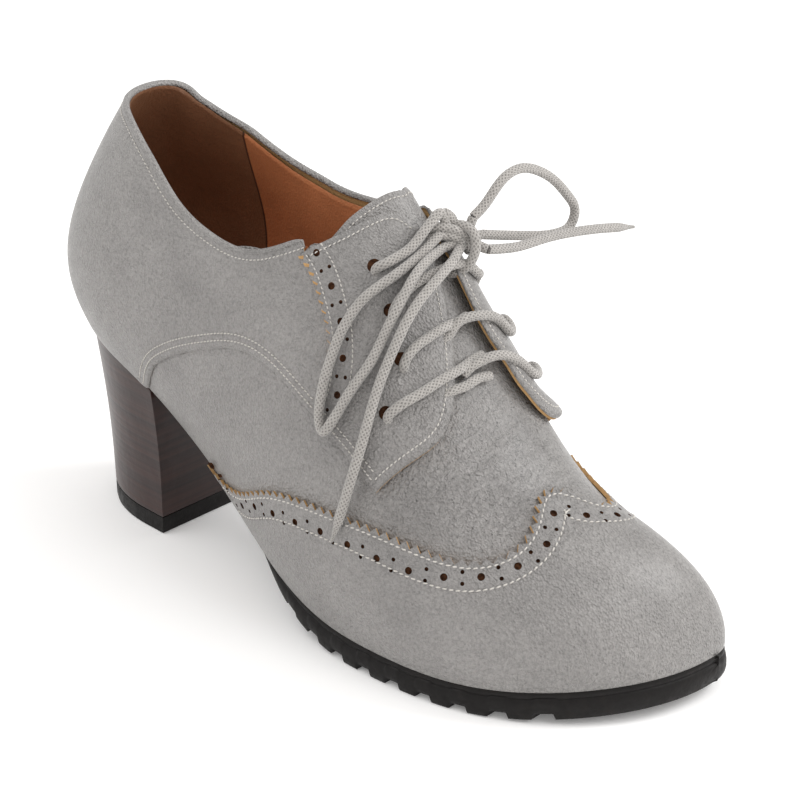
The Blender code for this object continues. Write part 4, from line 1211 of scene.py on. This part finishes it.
def distance_to(path, line):
    """Distance in metres of skin points from a line on the skin."""
    points, line = surface(path), surface(line)
    gap = np.empty(len(points))
    for i in range(0, len(points), 2000):
        gap[i:i + 2000] = np.sqrt(((points[i:i + 2000, None] - line[None]) ** 2).sum(-1).min(1))
    return gap


def vamp_creases(path):
    """Soft troughs along the drawn creases, with low ridges beside them: -d (1 - r^2) exp(-r^2)."""
    height = np.zeros(len(path))
    for rows, depth, half in CREASES:
        line = even(smooth_path(rows, 80), 1.0 * MM)
        reach = distance_to(path, line) / half
        height -= depth * (1 - 0.8 * reach ** 2) * np.exp(-reach ** 2)
    return height


def inner_lift(path):
    """The far lace flap stands off the tongue towards its front edge."""
    line = drawn(raised(-1, FLAP_FRONT_INNER), 2 * MM) * FLIP
    free = ease((0.745 - path[:, 0]) / 0.03) * ease((path[:, 0] - 0.56) / 0.05)
    return 0.0026 * free * ease(1 - distance_to(path, line) / 0.014)


def outer_lift(path):
    """The near lace flap stands off the tongue a little."""
    line = drawn(raised(-1, FLAP_FRONT_OUTER), 2 * MM)
    free = ease((0.715 - path[:, 0]) / 0.03) * ease((path[:, 0] - 0.56) / 0.05)
    return 0.0008 * free * ease(1 - distance_to(path, line) / 0.012)


FLAP_LIFT = {-1: outer_lift, 1: inner_lift}


def straight_path(start, stop, step):
    """Even path from one point of along and around straight to another."""
    path = np.array(start) + (np.array(stop) - np.array(start)) * np.linspace(0, 1, 60)[:, None]
    return even(path, step)


def build_vamp():
    """Vamp and tongue as one smooth leather, from feather edge to feather edge, with hand-placed creases."""
    rim = tongue_rim()
    back, toe = VAMP_BACK[0][0], VAMP_TOE
    waist = VAMP_BACK[-1]
    step = 1.5 * MM
    outer = drawn(VAMP_BACK, step)
    outline = [
        (level_path(back, toe, -1.0, 180), "raw"),
        (straight_path((toe, -1.0), (toe, 1.0), step), "raw"),
        (level_path(back, toe, 1.0, 180)[::-1], "raw"),
        (outer * FLIP, "raw"),
        (straight_path((waist[0], -waist[1]), tuple(rim[-1]), step), "raw"),
        (rim[::-1], "fold"),
        (straight_path(tuple(rim[0]), waist, step), "raw"),
        (outer[::-1], "raw"),
    ]
    points, faces, slots = cut_sheet(outline, *VAMP_LIFTS, FINE_CELLS, swell=vamp_creases)
    piece = add_mesh("vamp", points, faces, slots, leather_set())
    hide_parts("tongue")


def build_lining():
    """Brown lining: two walls that meet at the heel's back, welded along the ridge ahead of the throat."""
    parts = []
    front = 0.985
    slot = drawn(np.stack([np.array(THROAT)[:, 0], np.array(THROAT)[:, 1] - 1], -1), 1.5 * MM)
    for side in (-1, 1):
        collar = collar_rim(side, THROAT[0][0] - 0.002)
        collar[:, 1] += 0.003
        back = np.linspace(-1.0, collar[0, 1], 40)
        outline = [
            (level_path(0.0, front, -1.0, 160), "raw"),
            (straight_path((front, -1.0), (front, 0.0), 2.5 * MM), "raw"),
            (level_path(THROAT[-1][0], front, 0.0, 70)[::-1], "open"),
            (slot[::-1], "raw"),
            (np.array([slot[0], collar[-1]]), "raw"),
            (collar[::-1], "raw"),
            (np.stack([np.zeros(40), back], -1)[::-1], "open"),
        ]
        if side > 0:
            outline = mirrored(outline)
        parts.append(cut_sheet(outline, *LINING_LIFTS, LINING_CELLS, side=side))
    points, faces, slots = joined(parts)
    piece = add_mesh("lining", points, faces, slots, [shared(lining_leather)] * 4, weld=2e-5)
    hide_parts("upper")


def quarter_outline(side):
    """Outline of one side of the quarters as if on the outer side."""
    collar = collar_rim(side, FLAP_REAR[0][0])
    top, front = flap_rows(side)
    back = np.linspace(-1.0, collar[0, 1], 40)
    arc = arc_seam()
    edge = sideways(np.concatenate([front[::-1], top[::-1]]), 0.4 * MM)
    edge = edge[(edge[:, 1] < -0.02) | (side < 0)]
    return [
        (level_path(0.0, QUARTER_SEAM[-1][0], -1.0, 50), "raw"),
        (arc[::-1], "fold"),
        (np.array([arc[0], edge[0]]), "raw"),
        (edge, "raw"),
        (np.array([edge[-1], collar[-1]]), "raw"),
        (collar[::-1], "fold"),
        (np.stack([np.zeros(40), back], -1)[::-1], "open"),
    ]


def build_quarters():
    """Rear leather round the heel in two halves that meet at its back, the lower edge folded in an arc."""
    parts = []
    for side in (-1, 1):
        outline = quarter_outline(side)
        rim = collar_rim(side, FLAP_REAR[0][0] - 0.004)
        furrows = furrow_rows(arc_seam()[::-1], ARC_SEAMS, 0.20 * MM)
        furrows += furrow_rows(rim[::-1], (COLLAR_SEAM,), 0.20 * MM, 0.9 * MM)
        if side > 0:
            outline = mirrored(outline)
            furrows = mirrored_furrows(furrows)
        parts.append(cut_sheet(outline, *QUARTER_LIFTS, WIDE_CELLS, furrows=furrows, swell=FLAP_LIFT[side],
                               side=side))
    points, faces, slots = joined(parts)
    piece = add_mesh("quarter_leather", points, faces, slots, leather_set(), weld=2e-5)
    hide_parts("quarters")


def rear_edge():
    """Rear edge of a lace flap, before its teeth are cut."""
    return drawn(raised(-1, FLAP_REAR))


def at_run(path, run, at):
    """Along and around at a distance along a path."""
    return np.interp(at, run, path[:, 0]), np.interp(at, run, path[:, 1])


def build_flap(side):
    """Lace flap: pinked rear edge, brogue strip, eyelets and a rolled front edge."""
    look = bpy.context.scene.shoe_looks
    top, front = flap_rows(side)
    arc = arc_seam()
    arc = arc[arc[:, 0] > FLAP_REAR[-1][0]]
    line = rear_edge()
    rear = pinked(line, look.fine_pinking, 0.8 * look.pinking_depth)
    outline = [
        (rear, "raw"),
        (np.concatenate([rear[-1:], arc[::-1], front[-1:]]), "fold"),
        (front[::-1], "fold"),
        (np.array([front[0], top[-1]]), "fold"),
        (top[::-1], "fold"),
        (np.array([top[0], rear[0]]), "fold"),
    ]
    row = even(sideways(line, STRIP_INSET), 0.5 * MM)
    run = run_of(surface(row))
    stops = np.arange(3.5 * MM, run[-1] - 1 * MM, STRIP_HOLE_PITCH)
    holes = [(*at_run(row, run, at), STRIP_HOLE, LARGE_SIDES) for at in stops]
    beside = [sideways(row, inset) for inset in (-STRIP_SMALL_OFFSET, STRIP_SMALL_OFFSET)]
    for at in np.arange(9.1 * MM, run[-1] - 1 * MM, STRIP_HOLE_PITCH):
        holes.extend((*at_run(path, run, at), STRIP_SMALL_HOLE, SMALL_SIDES) for path in beside)
    furrows = furrow_rows(line, STRIP_SEAMS, 0.18 * MM)
    furrows += furrow_rows(front[::-1], (FRONT_SEAM,), 0.20 * MM, 0.9 * MM)
    furrows += furrow_rows(arc[::-1], ARC_SEAMS, 0.16 * MM)
    if side > 0:
        outline = mirrored(outline)
        holes = [(a, -r, size, sides) for a, r, size, sides in holes]
        furrows = mirrored_furrows(furrows)
    holes += [(a - 0.003, r, EYELET, EYELET_SIDES) for a, r in EYELETS[side]]
    points, faces, slots = cut_sheet(outline, *FLAP_LIFTS, FINE_CELLS, holes, furrows, swell=FLAP_LIFT[side])
    name = "lace_flap_outer" if side < 0 else "lace_flap_inner"
    piece = add_mesh(name, points, faces, slots, leather_set())
    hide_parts("facing_outer" if side < 0 else "facing_inner")


def cap_edge():
    """Rear edge of the toe cap from the inner wing to the outer one, before its teeth are cut."""
    return drawn(WING_EDGE)[::-1]


def build_cap():
    """Winged toe cap: pinked edge, two rows of stitching and a row of large and small holes."""
    look = bpy.context.scene.shoe_looks
    edge = cap_edge()
    outline = [
        (pinked(edge, look.pinking, look.pinking_depth), "raw"),
        (level_path(CAP_START, 1.0, -1.0, 170), "raw"),
        (np.stack([np.ones(40), np.linspace(-1, 1, 40)], -1), "raw"),
        (level_path(CAP_START, 1.0, 1.0, 170)[::-1], "raw"),
    ]
    row = even(smooth_path(CAP_HOLES, 600), 0.5 * MM)
    run = run_of(surface(row))
    count = int(round((run[-1] - 8 * MM) / CAP_HOLE_PITCH))
    stops = 4 * MM + np.arange(count) * CAP_HOLE_PITCH
    holes = [(*at_run(row, run, at), CAP_HOLE, LARGE_SIDES) for at in stops]
    beside = [sideways(row, inset) for inset in (-CAP_SMALL_OFFSET, CAP_SMALL_OFFSET)]
    for at in stops[:-1] + 0.5 * CAP_HOLE_PITCH:
        holes.extend((*at_run(line, run, at), CAP_SMALL_HOLE, SMALL_SIDES) for line in beside)
    holes = [hole for hole in holes if abs(hole[1]) < WING_END]
    furrows = furrow_rows(edge, CAP_SEAMS, 0.26 * MM)
    points, faces, slots = cut_sheet(outline, *CAP_LIFTS, WIDE_CELLS, holes, furrows)
    piece = add_mesh("toe_cap", points, faces, slots, leather_set(), weld=4e-6)
    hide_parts("wing_cap")


def build_stitching():
    """Every row of thread as one mesh of capsules."""
    look = bpy.context.scene.shoe_looks
    parts = []
    for inset in CAP_SEAMS:
        line = sideways(cap_edge(), inset)
        line = line[np.abs(line[:, 1]) < WING_END]
        parts.append(stitches(line, 1.38 * MM, look.stitch_pitch, CAP_THREAD))
    fine = 0.75 * look.stitch_pitch
    for side in (-1, 1):
        lift = FLAP_LIFT[side]
        mirror = np.array([1.0, -float(side)])

        def sew(line, level):
            line = line * mirror
            parts.append(stitches(line, level + lift(even(line, 0.4 * MM)), fine, FINE_THREAD))

        rear = rear_edge()
        for inset in STRIP_SEAMS:
            sew(sideways(rear, inset)[2:-2], 2.27 * MM)
        top, front = flap_rows(side)
        sew(sideways(front[::-1], FRONT_SEAM)[3:-2], 2.25 * MM)
        sew(sideways(top[::-1], FRONT_SEAM)[2:-2], 2.40 * MM)
        for inset in ARC_SEAMS:
            line = sideways(arc_seam()[::-1], inset)
            behind = line[line[:, 0] < FLAP_REAR[-1][0] - 0.004]
            over = line[(line[:, 0] > FLAP_REAR[-1][0] + 0.010) & (line[:, 0] < 0.655)]
            sew(behind[2:], 1.14 * MM)
            sew(over, 2.29 * MM)
        collar = collar_rim(side, FLAP_REAR[0][0] - 0.004)
        sew(sideways(collar[::-1], COLLAR_SEAM), 1.12 * MM)
    tongue = sideways(tongue_rim()[::-1], TONGUE_SEAM)[4:-4]
    parts.append(stitches(tongue, -0.06 * MM, fine, FINE_THREAD))
    points, faces, slots = joined(parts)
    piece = add_mesh("stitching", points, faces, slots, [shared(thread)], weld=1e-7, sharp=80)


def build_collar():
    """Rolled edge of the collar: a half-round profile carried along it, between the two lace flaps."""
    spine, side_way, up_way = [], [], []
    for side in (-1, 1):
        path = top_of_collar(side, 0.0, THROAT[0][0], 110)
        _, over, out = slopes(path, 0.35 * MM)
        rise = unit(over) * (1 if side < 0 else -1)
        points = surface(path, 0.35 * MM)
        order = slice(None, None, -1) if side < 0 else slice(1, None)
        spine.append(points[order])
        side_way.append(out[order])
        up_way.append(rise[order])
    spine, side_way, up_way = (np.concatenate(v) for v in (spine, side_way, up_way))
    ahead = unit(np.gradient(spine, axis=0))
    side_way = unit(side_way - (side_way * ahead).sum(-1, keepdims=True) * ahead)
    square = unit(np.cross(side_way, ahead))
    up_way = square * np.sign((square * up_way).sum(-1, keepdims=True))
    turn = np.arange(14) * 2 * np.pi / 14
    ends = ease(np.minimum(np.arange(len(spine)), np.arange(len(spine))[::-1]) / 3.0) * 0.7 + 0.3
    profile = np.stack([1.22 * MM * np.cos(turn), 0.35 * MM + 0.95 * MM * np.sin(turn)], -1)
    profile = profile[None] * ends[:, None, None]
    points, faces, slots = section_along(spine, side_way, up_way, profile)
    piece = add_mesh("collar_roll", points, faces, slots, [shared(grey_leather)])


def build_sock():
    """Brown insole on the feather line, a little dished, its rim rounded."""
    draw_in = WALL + 0.0006
    x0, x1 = -SEAT_BACK + draw_in, TOE_TIP - draw_in
    x = x0 + (x1 - x0) * (1 - np.cos(np.linspace(0.02, np.pi - 0.02, 120))) / 2
    v = np.linspace(-1, 1, 17)
    outer, inner = feather(-1, x, -draw_in), feather(1, x, -draw_in)
    y = 0.5 * (outer + inner)[:, None] + 0.5 * (inner - outer)[:, None] * v
    low = np.broadcast_to(floor_line(x)[:, None], y.shape)
    high = low + INSOLE_THICKNESS * (0.80 + 0.30 * v ** 2)
    xs = np.broadcast_to(x[:, None], y.shape)
    ring = np.concatenate([np.stack([xs, y, low], -1), np.stack([xs, y, high], -1)[:, ::-1]], 1)
    points, faces, slots = ring_solid(ring)
    piece = add_mesh("sock", points, faces, slots, [shared(lining_leather)])
    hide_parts("insole")


def build_outsole():
    """Lugged forepart and thin waist: rounded side with a groove under the upper, and slanted lug ends."""
    start, stop = place(0.207), TOE_TIP + LIP
    first, last = place(0.485), place(0.93)
    x = np.concatenate([np.linspace(start, first, 60)[:-1], np.arange(first, last, 0.5 * MM),
                        last + (stop - last) * np.sin(np.linspace(0, np.pi / 2, 46))])
    x = np.minimum(x, stop - 1e-7)
    line = share(x)
    lip = LIP * SOLE_LINE["lip"](line)
    full = np.clip(SOLE_LINE["thickness"](line), 0, 1)
    thick = WAIST_THICKNESS + (FOREPART_HEIGHT - WAIST_THICKNESS) * full
    top = floor_line(x) - 0.2 * MM
    bottom = np.maximum(floor_line(x) - thick - CLEAR, 0.0)
    phase = np.mod(x - first, LUG_PITCH)
    slope = 0.6 * MM
    notch = np.clip((phase - LUG_LENGTH) / slope, 0, 1) * np.clip((LUG_PITCH - phase) / slope, 0, 1)
    notch = notch * (x > first) * (x < last)
    tread = bottom + LUG_DEPTH * full ** 2 * notch
    levels = np.array([1.0, 0.93, 0.86, 0.80, 0.76, 0.72, 0.66, 0.45, 0.25, 0.10, 0.0])
    draws = np.array([1.3, 0.85, 0.75, 0.85, 1.05, 0.80, 0.35, 0.05, 0.0, 0.20, 0.60]) * MM
    left, right = [], []
    for side, rows in ((-1, left), (1, right)):
        for level, draw in zip(levels, draws):
            g = lip - draw
            reach = np.where(x < TOE_TIP + g, 1.0, 0.0)
            y = feather(side, np.minimum(x, TOE_TIP + np.minimum(g, lip) - 1e-7), g)
            y = np.where(reach > 0, y, swing(x))
            z = tread + (top - tread) * level
            rows.append(np.stack([x, y, z], -1))
    ring = np.stack(left + right[::-1], 1)
    points, faces, slots = ring_solid(ring)
    piece = add_mesh("lug_sole", points, faces, slots, [shared(sole_rubber)], sharp=50)
    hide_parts("outsole")


def heel_outline(level, count=61):
    """Plan ring of the heel at a level, 0 on the floor to 1 under the seat: round back, flat front."""
    turn = np.linspace(-np.pi / 2, np.pi / 2, count)
    top_front = HEEL_TOP_LENGTH - SEAT_BACK
    length = HEEL_FOOT_LENGTH + (HEEL_TOP_LENGTH - HEEL_FOOT_LENGTH) * level
    front = BREAST_FOOT + (top_front - BREAST_FOOT) * level
    x_top = top_front - HEEL_TOP_LENGTH * np.cos(turn)
    width = feather(1, place(HEEL_CLOSING)) - feather(-1, place(HEEL_CLOSING))
    widen = (HEEL_FOOT_WIDTH + (width - HEEL_FOOT_WIDTH) * level) / width
    waist = HEEL_WAIST * np.sin(np.pi * level)
    clamped = np.maximum(x_top, -SEAT_BACK)
    y_top = np.where(turn < 0, feather(-1, clamped), feather(1, clamped))
    x = front - (length - waist) * np.cos(turn)
    return x, y_top * widen * (1 - 2 * waist / width), x_top


def heel_part(name, node, low, high, material):
    """Part of the heel between two heights, or up to the sloping seat, its rims rounded."""
    rings = []
    seat_front = floor_line(HEEL_TOP_LENGTH - SEAT_BACK)
    between = np.linspace(0.03, 0.97, 22 if high is None else 6)
    steps = np.concatenate([[0, 0.004, 0.012], between, [0.988, 0.996, 1]])
    for step in steps:
        if high is None:
            x, y, x_top = heel_outline(low / seat_front * (1 - step) + step)
            z = low + (floor_line(x_top) - CLEAR - low) * step
        else:
            height = low + (high - low) * step
            x, y, x_top = heel_outline(height / seat_front)
            z = np.full(len(x), height)
        away = min(step, 1 - step) * (high - low if high else seat_front - low)
        round_in = 0.5 * MM * (1 - min(1, away / (0.5 * MM))) ** 2
        middle = np.array([x.mean(), y.mean()])
        plan = np.stack([x, y], -1)
        plan = plan + (middle - plan) * (round_in / np.linalg.norm(plan - middle, axis=1))[:, None]
        rings.append(np.concatenate([plan, z[:, None]], 1))
    points, faces, slots = ring_solid(np.array(rings))
    piece = add_mesh(name, points, faces, slots, [shared(material)], sharp=35)
    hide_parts(node)


def strand_points(rows):
    """Points of a strand from rows of along, around and lift."""
    table = np.array(rows, float)
    return surface(table[:, :2], table[:, 2])


def lace_mesh(name, spines, taper=0.0):
    """Lengths of lace as one piece; taper is the length over which a free end thins."""
    tubes = [lace_tube(spine, taper=taper) for spine in spines]
    points, faces, slots = joined([tube[:3] for tube in tubes])
    uv = np.concatenate([tube[3] for tube in tubes])
    piece = add_mesh(name, points, faces, slots, [shared(woven_lace)], uv, weld=1e-8, sharp=70)
    return piece


def build_strands():
    """Lace between the eyelets, strand by strand."""
    piece = lace_mesh("lace_strands", [smooth_line(strand_points(rows), LACE_STEP) for rows in STRANDS])
    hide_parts("lace_crossings")


def knot_turn(centre, across, over, start, stop):
    """One turn of the lace: centre + across * cos(a) + over * sin(a), from one angle to the other."""
    angle = np.radians(np.linspace(start, stop, 20))[:, None]
    offset = np.array(centre) + np.cos(angle) * np.array(across) + np.sin(angle) * np.array(over)
    return np.array(KNOT_AT) + MM * offset


def leg_from(start):
    """Length of lace from the start or end of a bow's cord into the middle of the knot."""
    start, middle = np.array(start), np.array(KNOT_AT)
    return smooth_line([start, 0.5 * (start + middle), middle + 0.15 * (start - middle)], LACE_STEP)


def build_knot():
    """Tied middle: lengths of lace wrapped round each other."""
    middle = np.array(KNOT_AT)
    lines = [smooth_line(knot_turn(*row), 0.6 * MM) for row in KNOT_TURNS]
    for rows, far in zip(TOP_STRANDS, (-0.003, 0.004)):
        end = strand_points(rows[-2:])
        into = [middle + np.array([-0.001, far, -0.002]), middle + np.array([0.001, -far, 0.001])]
        lines.append(smooth_line([end[0], end[1], *into], LACE_STEP))
    starts = [route[0] for route in (LOOP_OUTER, END_OUTER, LOOP_INNER, END_INNER)]
    lines += [leg_from(start) for start in (*starts, LOOP_OUTER[-1], LOOP_INNER[-1])]
    piece = lace_mesh("tied_knot", lines)
    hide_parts("lace_knot")


def build_cords():
    """Two loops and two free ends of the bow, each a cord of its own length."""
    for name, node, route, far in (("bow_loop_outer", "lace_loop_outer", LOOP_OUTER, "object"),
                                   ("bow_end_outer", "lace_end_outer", END_OUTER, "bare"),
                                   ("bow_loop_inner", "lace_loop_inner", LOOP_INNER, "object"),
                                   ("bow_end_inner", "lace_end_inner", END_INNER, "bare")):
        spine = smooth_line(route, LACE_STEP)
        piece = lace_mesh(name, [spine], taper=LACE_TIP if far == "bare" else 0.0)
        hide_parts(node)


# Stage: the floor, the lamps as name, place, target, diameter and watts, and the photo's camera
FLOOR_HALF = 30.0
FLOOR_Z = -0.2 * MM
LAMPS = (
    ("key", (-0.30, -0.70, 1.15), (0.08, 0.0, 0.05), 0.90, 3.5),
    ("fill", (1.00, 0.10, 0.80), (0.10, 0.0, 0.05), 0.50, 2.5),
    ("top", (0.74, 0.70, 0.86), (0.14, 0.0, 0.05), 0.60, 7.5),
)
CAMERA_AT = (0.5556, -0.4690, 0.3774)
CAMERA_AIM = (-0.6233, 0.6553, -0.4267)
CAMERA_LENS = 100.0


def aimed(direction):
    """Turn of a lamp or camera that looks along a direction."""
    return Vector(direction).to_track_quat("-Z", "Y").to_euler()


def build_stage():
    """Pale floor, soft light from above and both sides, and the photo's camera."""
    scene = bpy.context.scene
    mesh = bpy.data.meshes.new("floor")
    corners = ((-1, -1), (1, -1), (1, 1), (-1, 1))
    mesh.from_pydata([(x * FLOOR_HALF, y * FLOOR_HALF, FLOOR_Z) for x, y in corners], [], [(0, 1, 2, 3)])
    floor = bpy.data.objects.new("floor", mesh)
    scene.collection.objects.link(floor)
    material, shader = start_material("floor_paper", (0.94, 0.935, 0.93), 0.75, 0.0)
    faint = ramp(material, noise(material, position(material), 3, 2),
                 ((0.3, (0.93, 0.925, 0.92)), (0.7, (0.95, 0.945, 0.94))))
    join(material, faint, shader.inputs["Base Color"])
    shader.inputs["Emission Color"].default_value = (1.0, 0.995, 0.99, 1.0)
    shader.inputs["Emission Strength"].default_value = 0.12
    floor.data.materials.append(material)
    for name, at, target, size, power in LAMPS:
        light = bpy.data.lights.new(name, "AREA")
        light.shape = "DISK"
        light.size = size
        light.energy = power
        lamp = bpy.data.objects.new(name, light)
        scene.collection.objects.link(lamp)
        lamp.location = at
        lamp.rotation_euler = aimed(Vector(target) - Vector(at))
    world = bpy.data.worlds.new("studio")
    world.use_nodes = True
    sky = world.node_tree.nodes["Background"]
    sky.inputs["Color"].default_value = (1.0, 0.99, 0.98, 1.0)
    sky.inputs["Strength"].default_value = scene.shoe_looks.sky
    scene.world = world
    camera = bpy.data.objects.new("camera", bpy.data.cameras.new("camera"))
    scene.collection.objects.link(camera)
    camera.location = CAMERA_AT
    camera.rotation_euler = aimed(CAMERA_AIM)
    camera.data.sensor_width = 36
    camera.data.lens = CAMERA_LENS
    camera.data.clip_start = 0.01
    scene.camera = camera
    scene.view_settings.view_transform = "Standard"
    scene.view_settings.look = "None"


def colour_setting(name, about, colour):
    """Colour that the panel shows."""
    return FloatVectorProperty(name=name, description=about, subtype="COLOR", size=3, default=colour,
                               min=0, max=1)


def length_setting(name, about, length, low, high):
    """Length that the panel shows."""
    return FloatProperty(name=name, description=about, default=length, min=low, max=high, unit="LENGTH",
                         precision=4)


class ShoeLooks(bpy.types.PropertyGroup):
    """Sizes and colours of the visible shoe."""
    leather: colour_setting("Leather", "Colour of the grey leather", (0.272, 0.260, 0.251))
    edge: colour_setting("Cut edge", "Colour of the raw leather edges", (0.56, 0.34, 0.15))
    thread: colour_setting("Thread", "Colour of the stitching", (0.60, 0.57, 0.53))
    lace: colour_setting("Lace", "Colour of the lace", (0.40, 0.378, 0.355))
    stitch_pitch: length_setting("Stitch pitch", "From stitch to stitch on the toe cap", 0.0021, 0.001, 0.005)
    pinking: length_setting("Pinking pitch", "From tooth to tooth on the toe cap", 0.0036, 0.002, 0.008)
    fine_pinking: length_setting("Fine pinking", "From tooth to tooth on the flaps", 0.0031, 0.002, 0.008)
    pinking_depth: length_setting("Pinking depth", "Height of a tooth", 0.0019, 0.0005, 0.003)
    sky: FloatProperty(name="Surround light", description="Strength of the even light from all round",
                       default=0.92, min=0, max=3)


def piece_operator(key, label, about, build):
    """Operator class that builds one piece or a group of like pieces."""

    def execute(self, context):
        build()
        return {"FINISHED"}

    return type("SHOE_OT_" + key, (bpy.types.Operator,), {
        "bl_idname": "shoe." + key, "bl_label": label, "__doc__": about, "bl_options": {"REGISTER", "UNDO"},
        "execute": execute})


def build_flaps():
    """Lace flaps of both sides."""
    build_flap(-1)
    build_flap(1)


def build_heel():
    """Stacked heel and the walking tap under it."""
    heel_part("stacked_block", "heel_block", TAP_HEIGHT + 0.15 * MM, None, stacked_leather)
    heel_part("walking_tap", "heel_tap", 0.0, TAP_HEIGHT, sole_rubber)


PIECES = (
    ("stage", "Stage", "Floor, lights and camera", build_stage),
    ("knot", "Knot", "Tied middle of the lace", build_knot),
    ("cords", "Bow", "The bow's loops and free ends", build_cords),
    ("vamp", "Vamp", "Vamp and tongue", build_vamp),
    ("lining", "Lining", "Brown lining", build_lining),
    ("quarters", "Quarters", "Rear leather", build_quarters),
    ("collar", "Collar roll", "Rolled edge of the collar", build_collar),
    ("flaps", "Lace flaps", "Both lace flaps", build_flaps),
    ("cap", "Toe cap", "Winged toe cap", build_cap),
    ("stitching", "Stitching", "All rows of thread", build_stitching),
    ("sock", "Sock", "Insole with its sock", build_sock),
    ("outsole", "Outsole", "Lugged outsole", build_outsole),
    ("heel", "Heel", "Stacked heel and its tap", build_heel),
    ("strands", "Lace strands", "Lace between the eyelets", build_strands),
)
OPERATORS = [piece_operator(*piece) for piece in PIECES]


class SHOE_PT_panel(bpy.types.Panel):
    """Sidebar panel with the shoe's sizes and one button for each piece."""
    bl_label = "Dressed shoe"
    bl_idname = "SHOE_PT_panel"
    bl_space_type = "VIEW_3D"
    bl_region_type = "UI"
    bl_category = "Shoe"

    def draw(self, context):
        for name in ShoeLooks.__annotations__:
            self.layout.prop(context.scene.shoe_looks, name)
        for operator in OPERATORS:
            self.layout.operator(operator.bl_idname)


def register():
    for kind in (ShoeLooks, *OPERATORS, SHOE_PT_panel):
        bpy.utils.register_class(kind)
    bpy.types.Scene.shoe_looks = bpy.props.PointerProperty(type=ShoeLooks)


def unregister():
    del bpy.types.Scene.shoe_looks
    for kind in (SHOE_PT_panel, *reversed(OPERATORS), ShoeLooks):
        bpy.utils.unregister_class(kind)


def main():
    """Builds every piece by its operator and writes down both boxes."""
    register()
    for key, _, _, _ in PIECES:
        getattr(bpy.ops.shoe, key)()


if __name__ == "__main__":
    main()
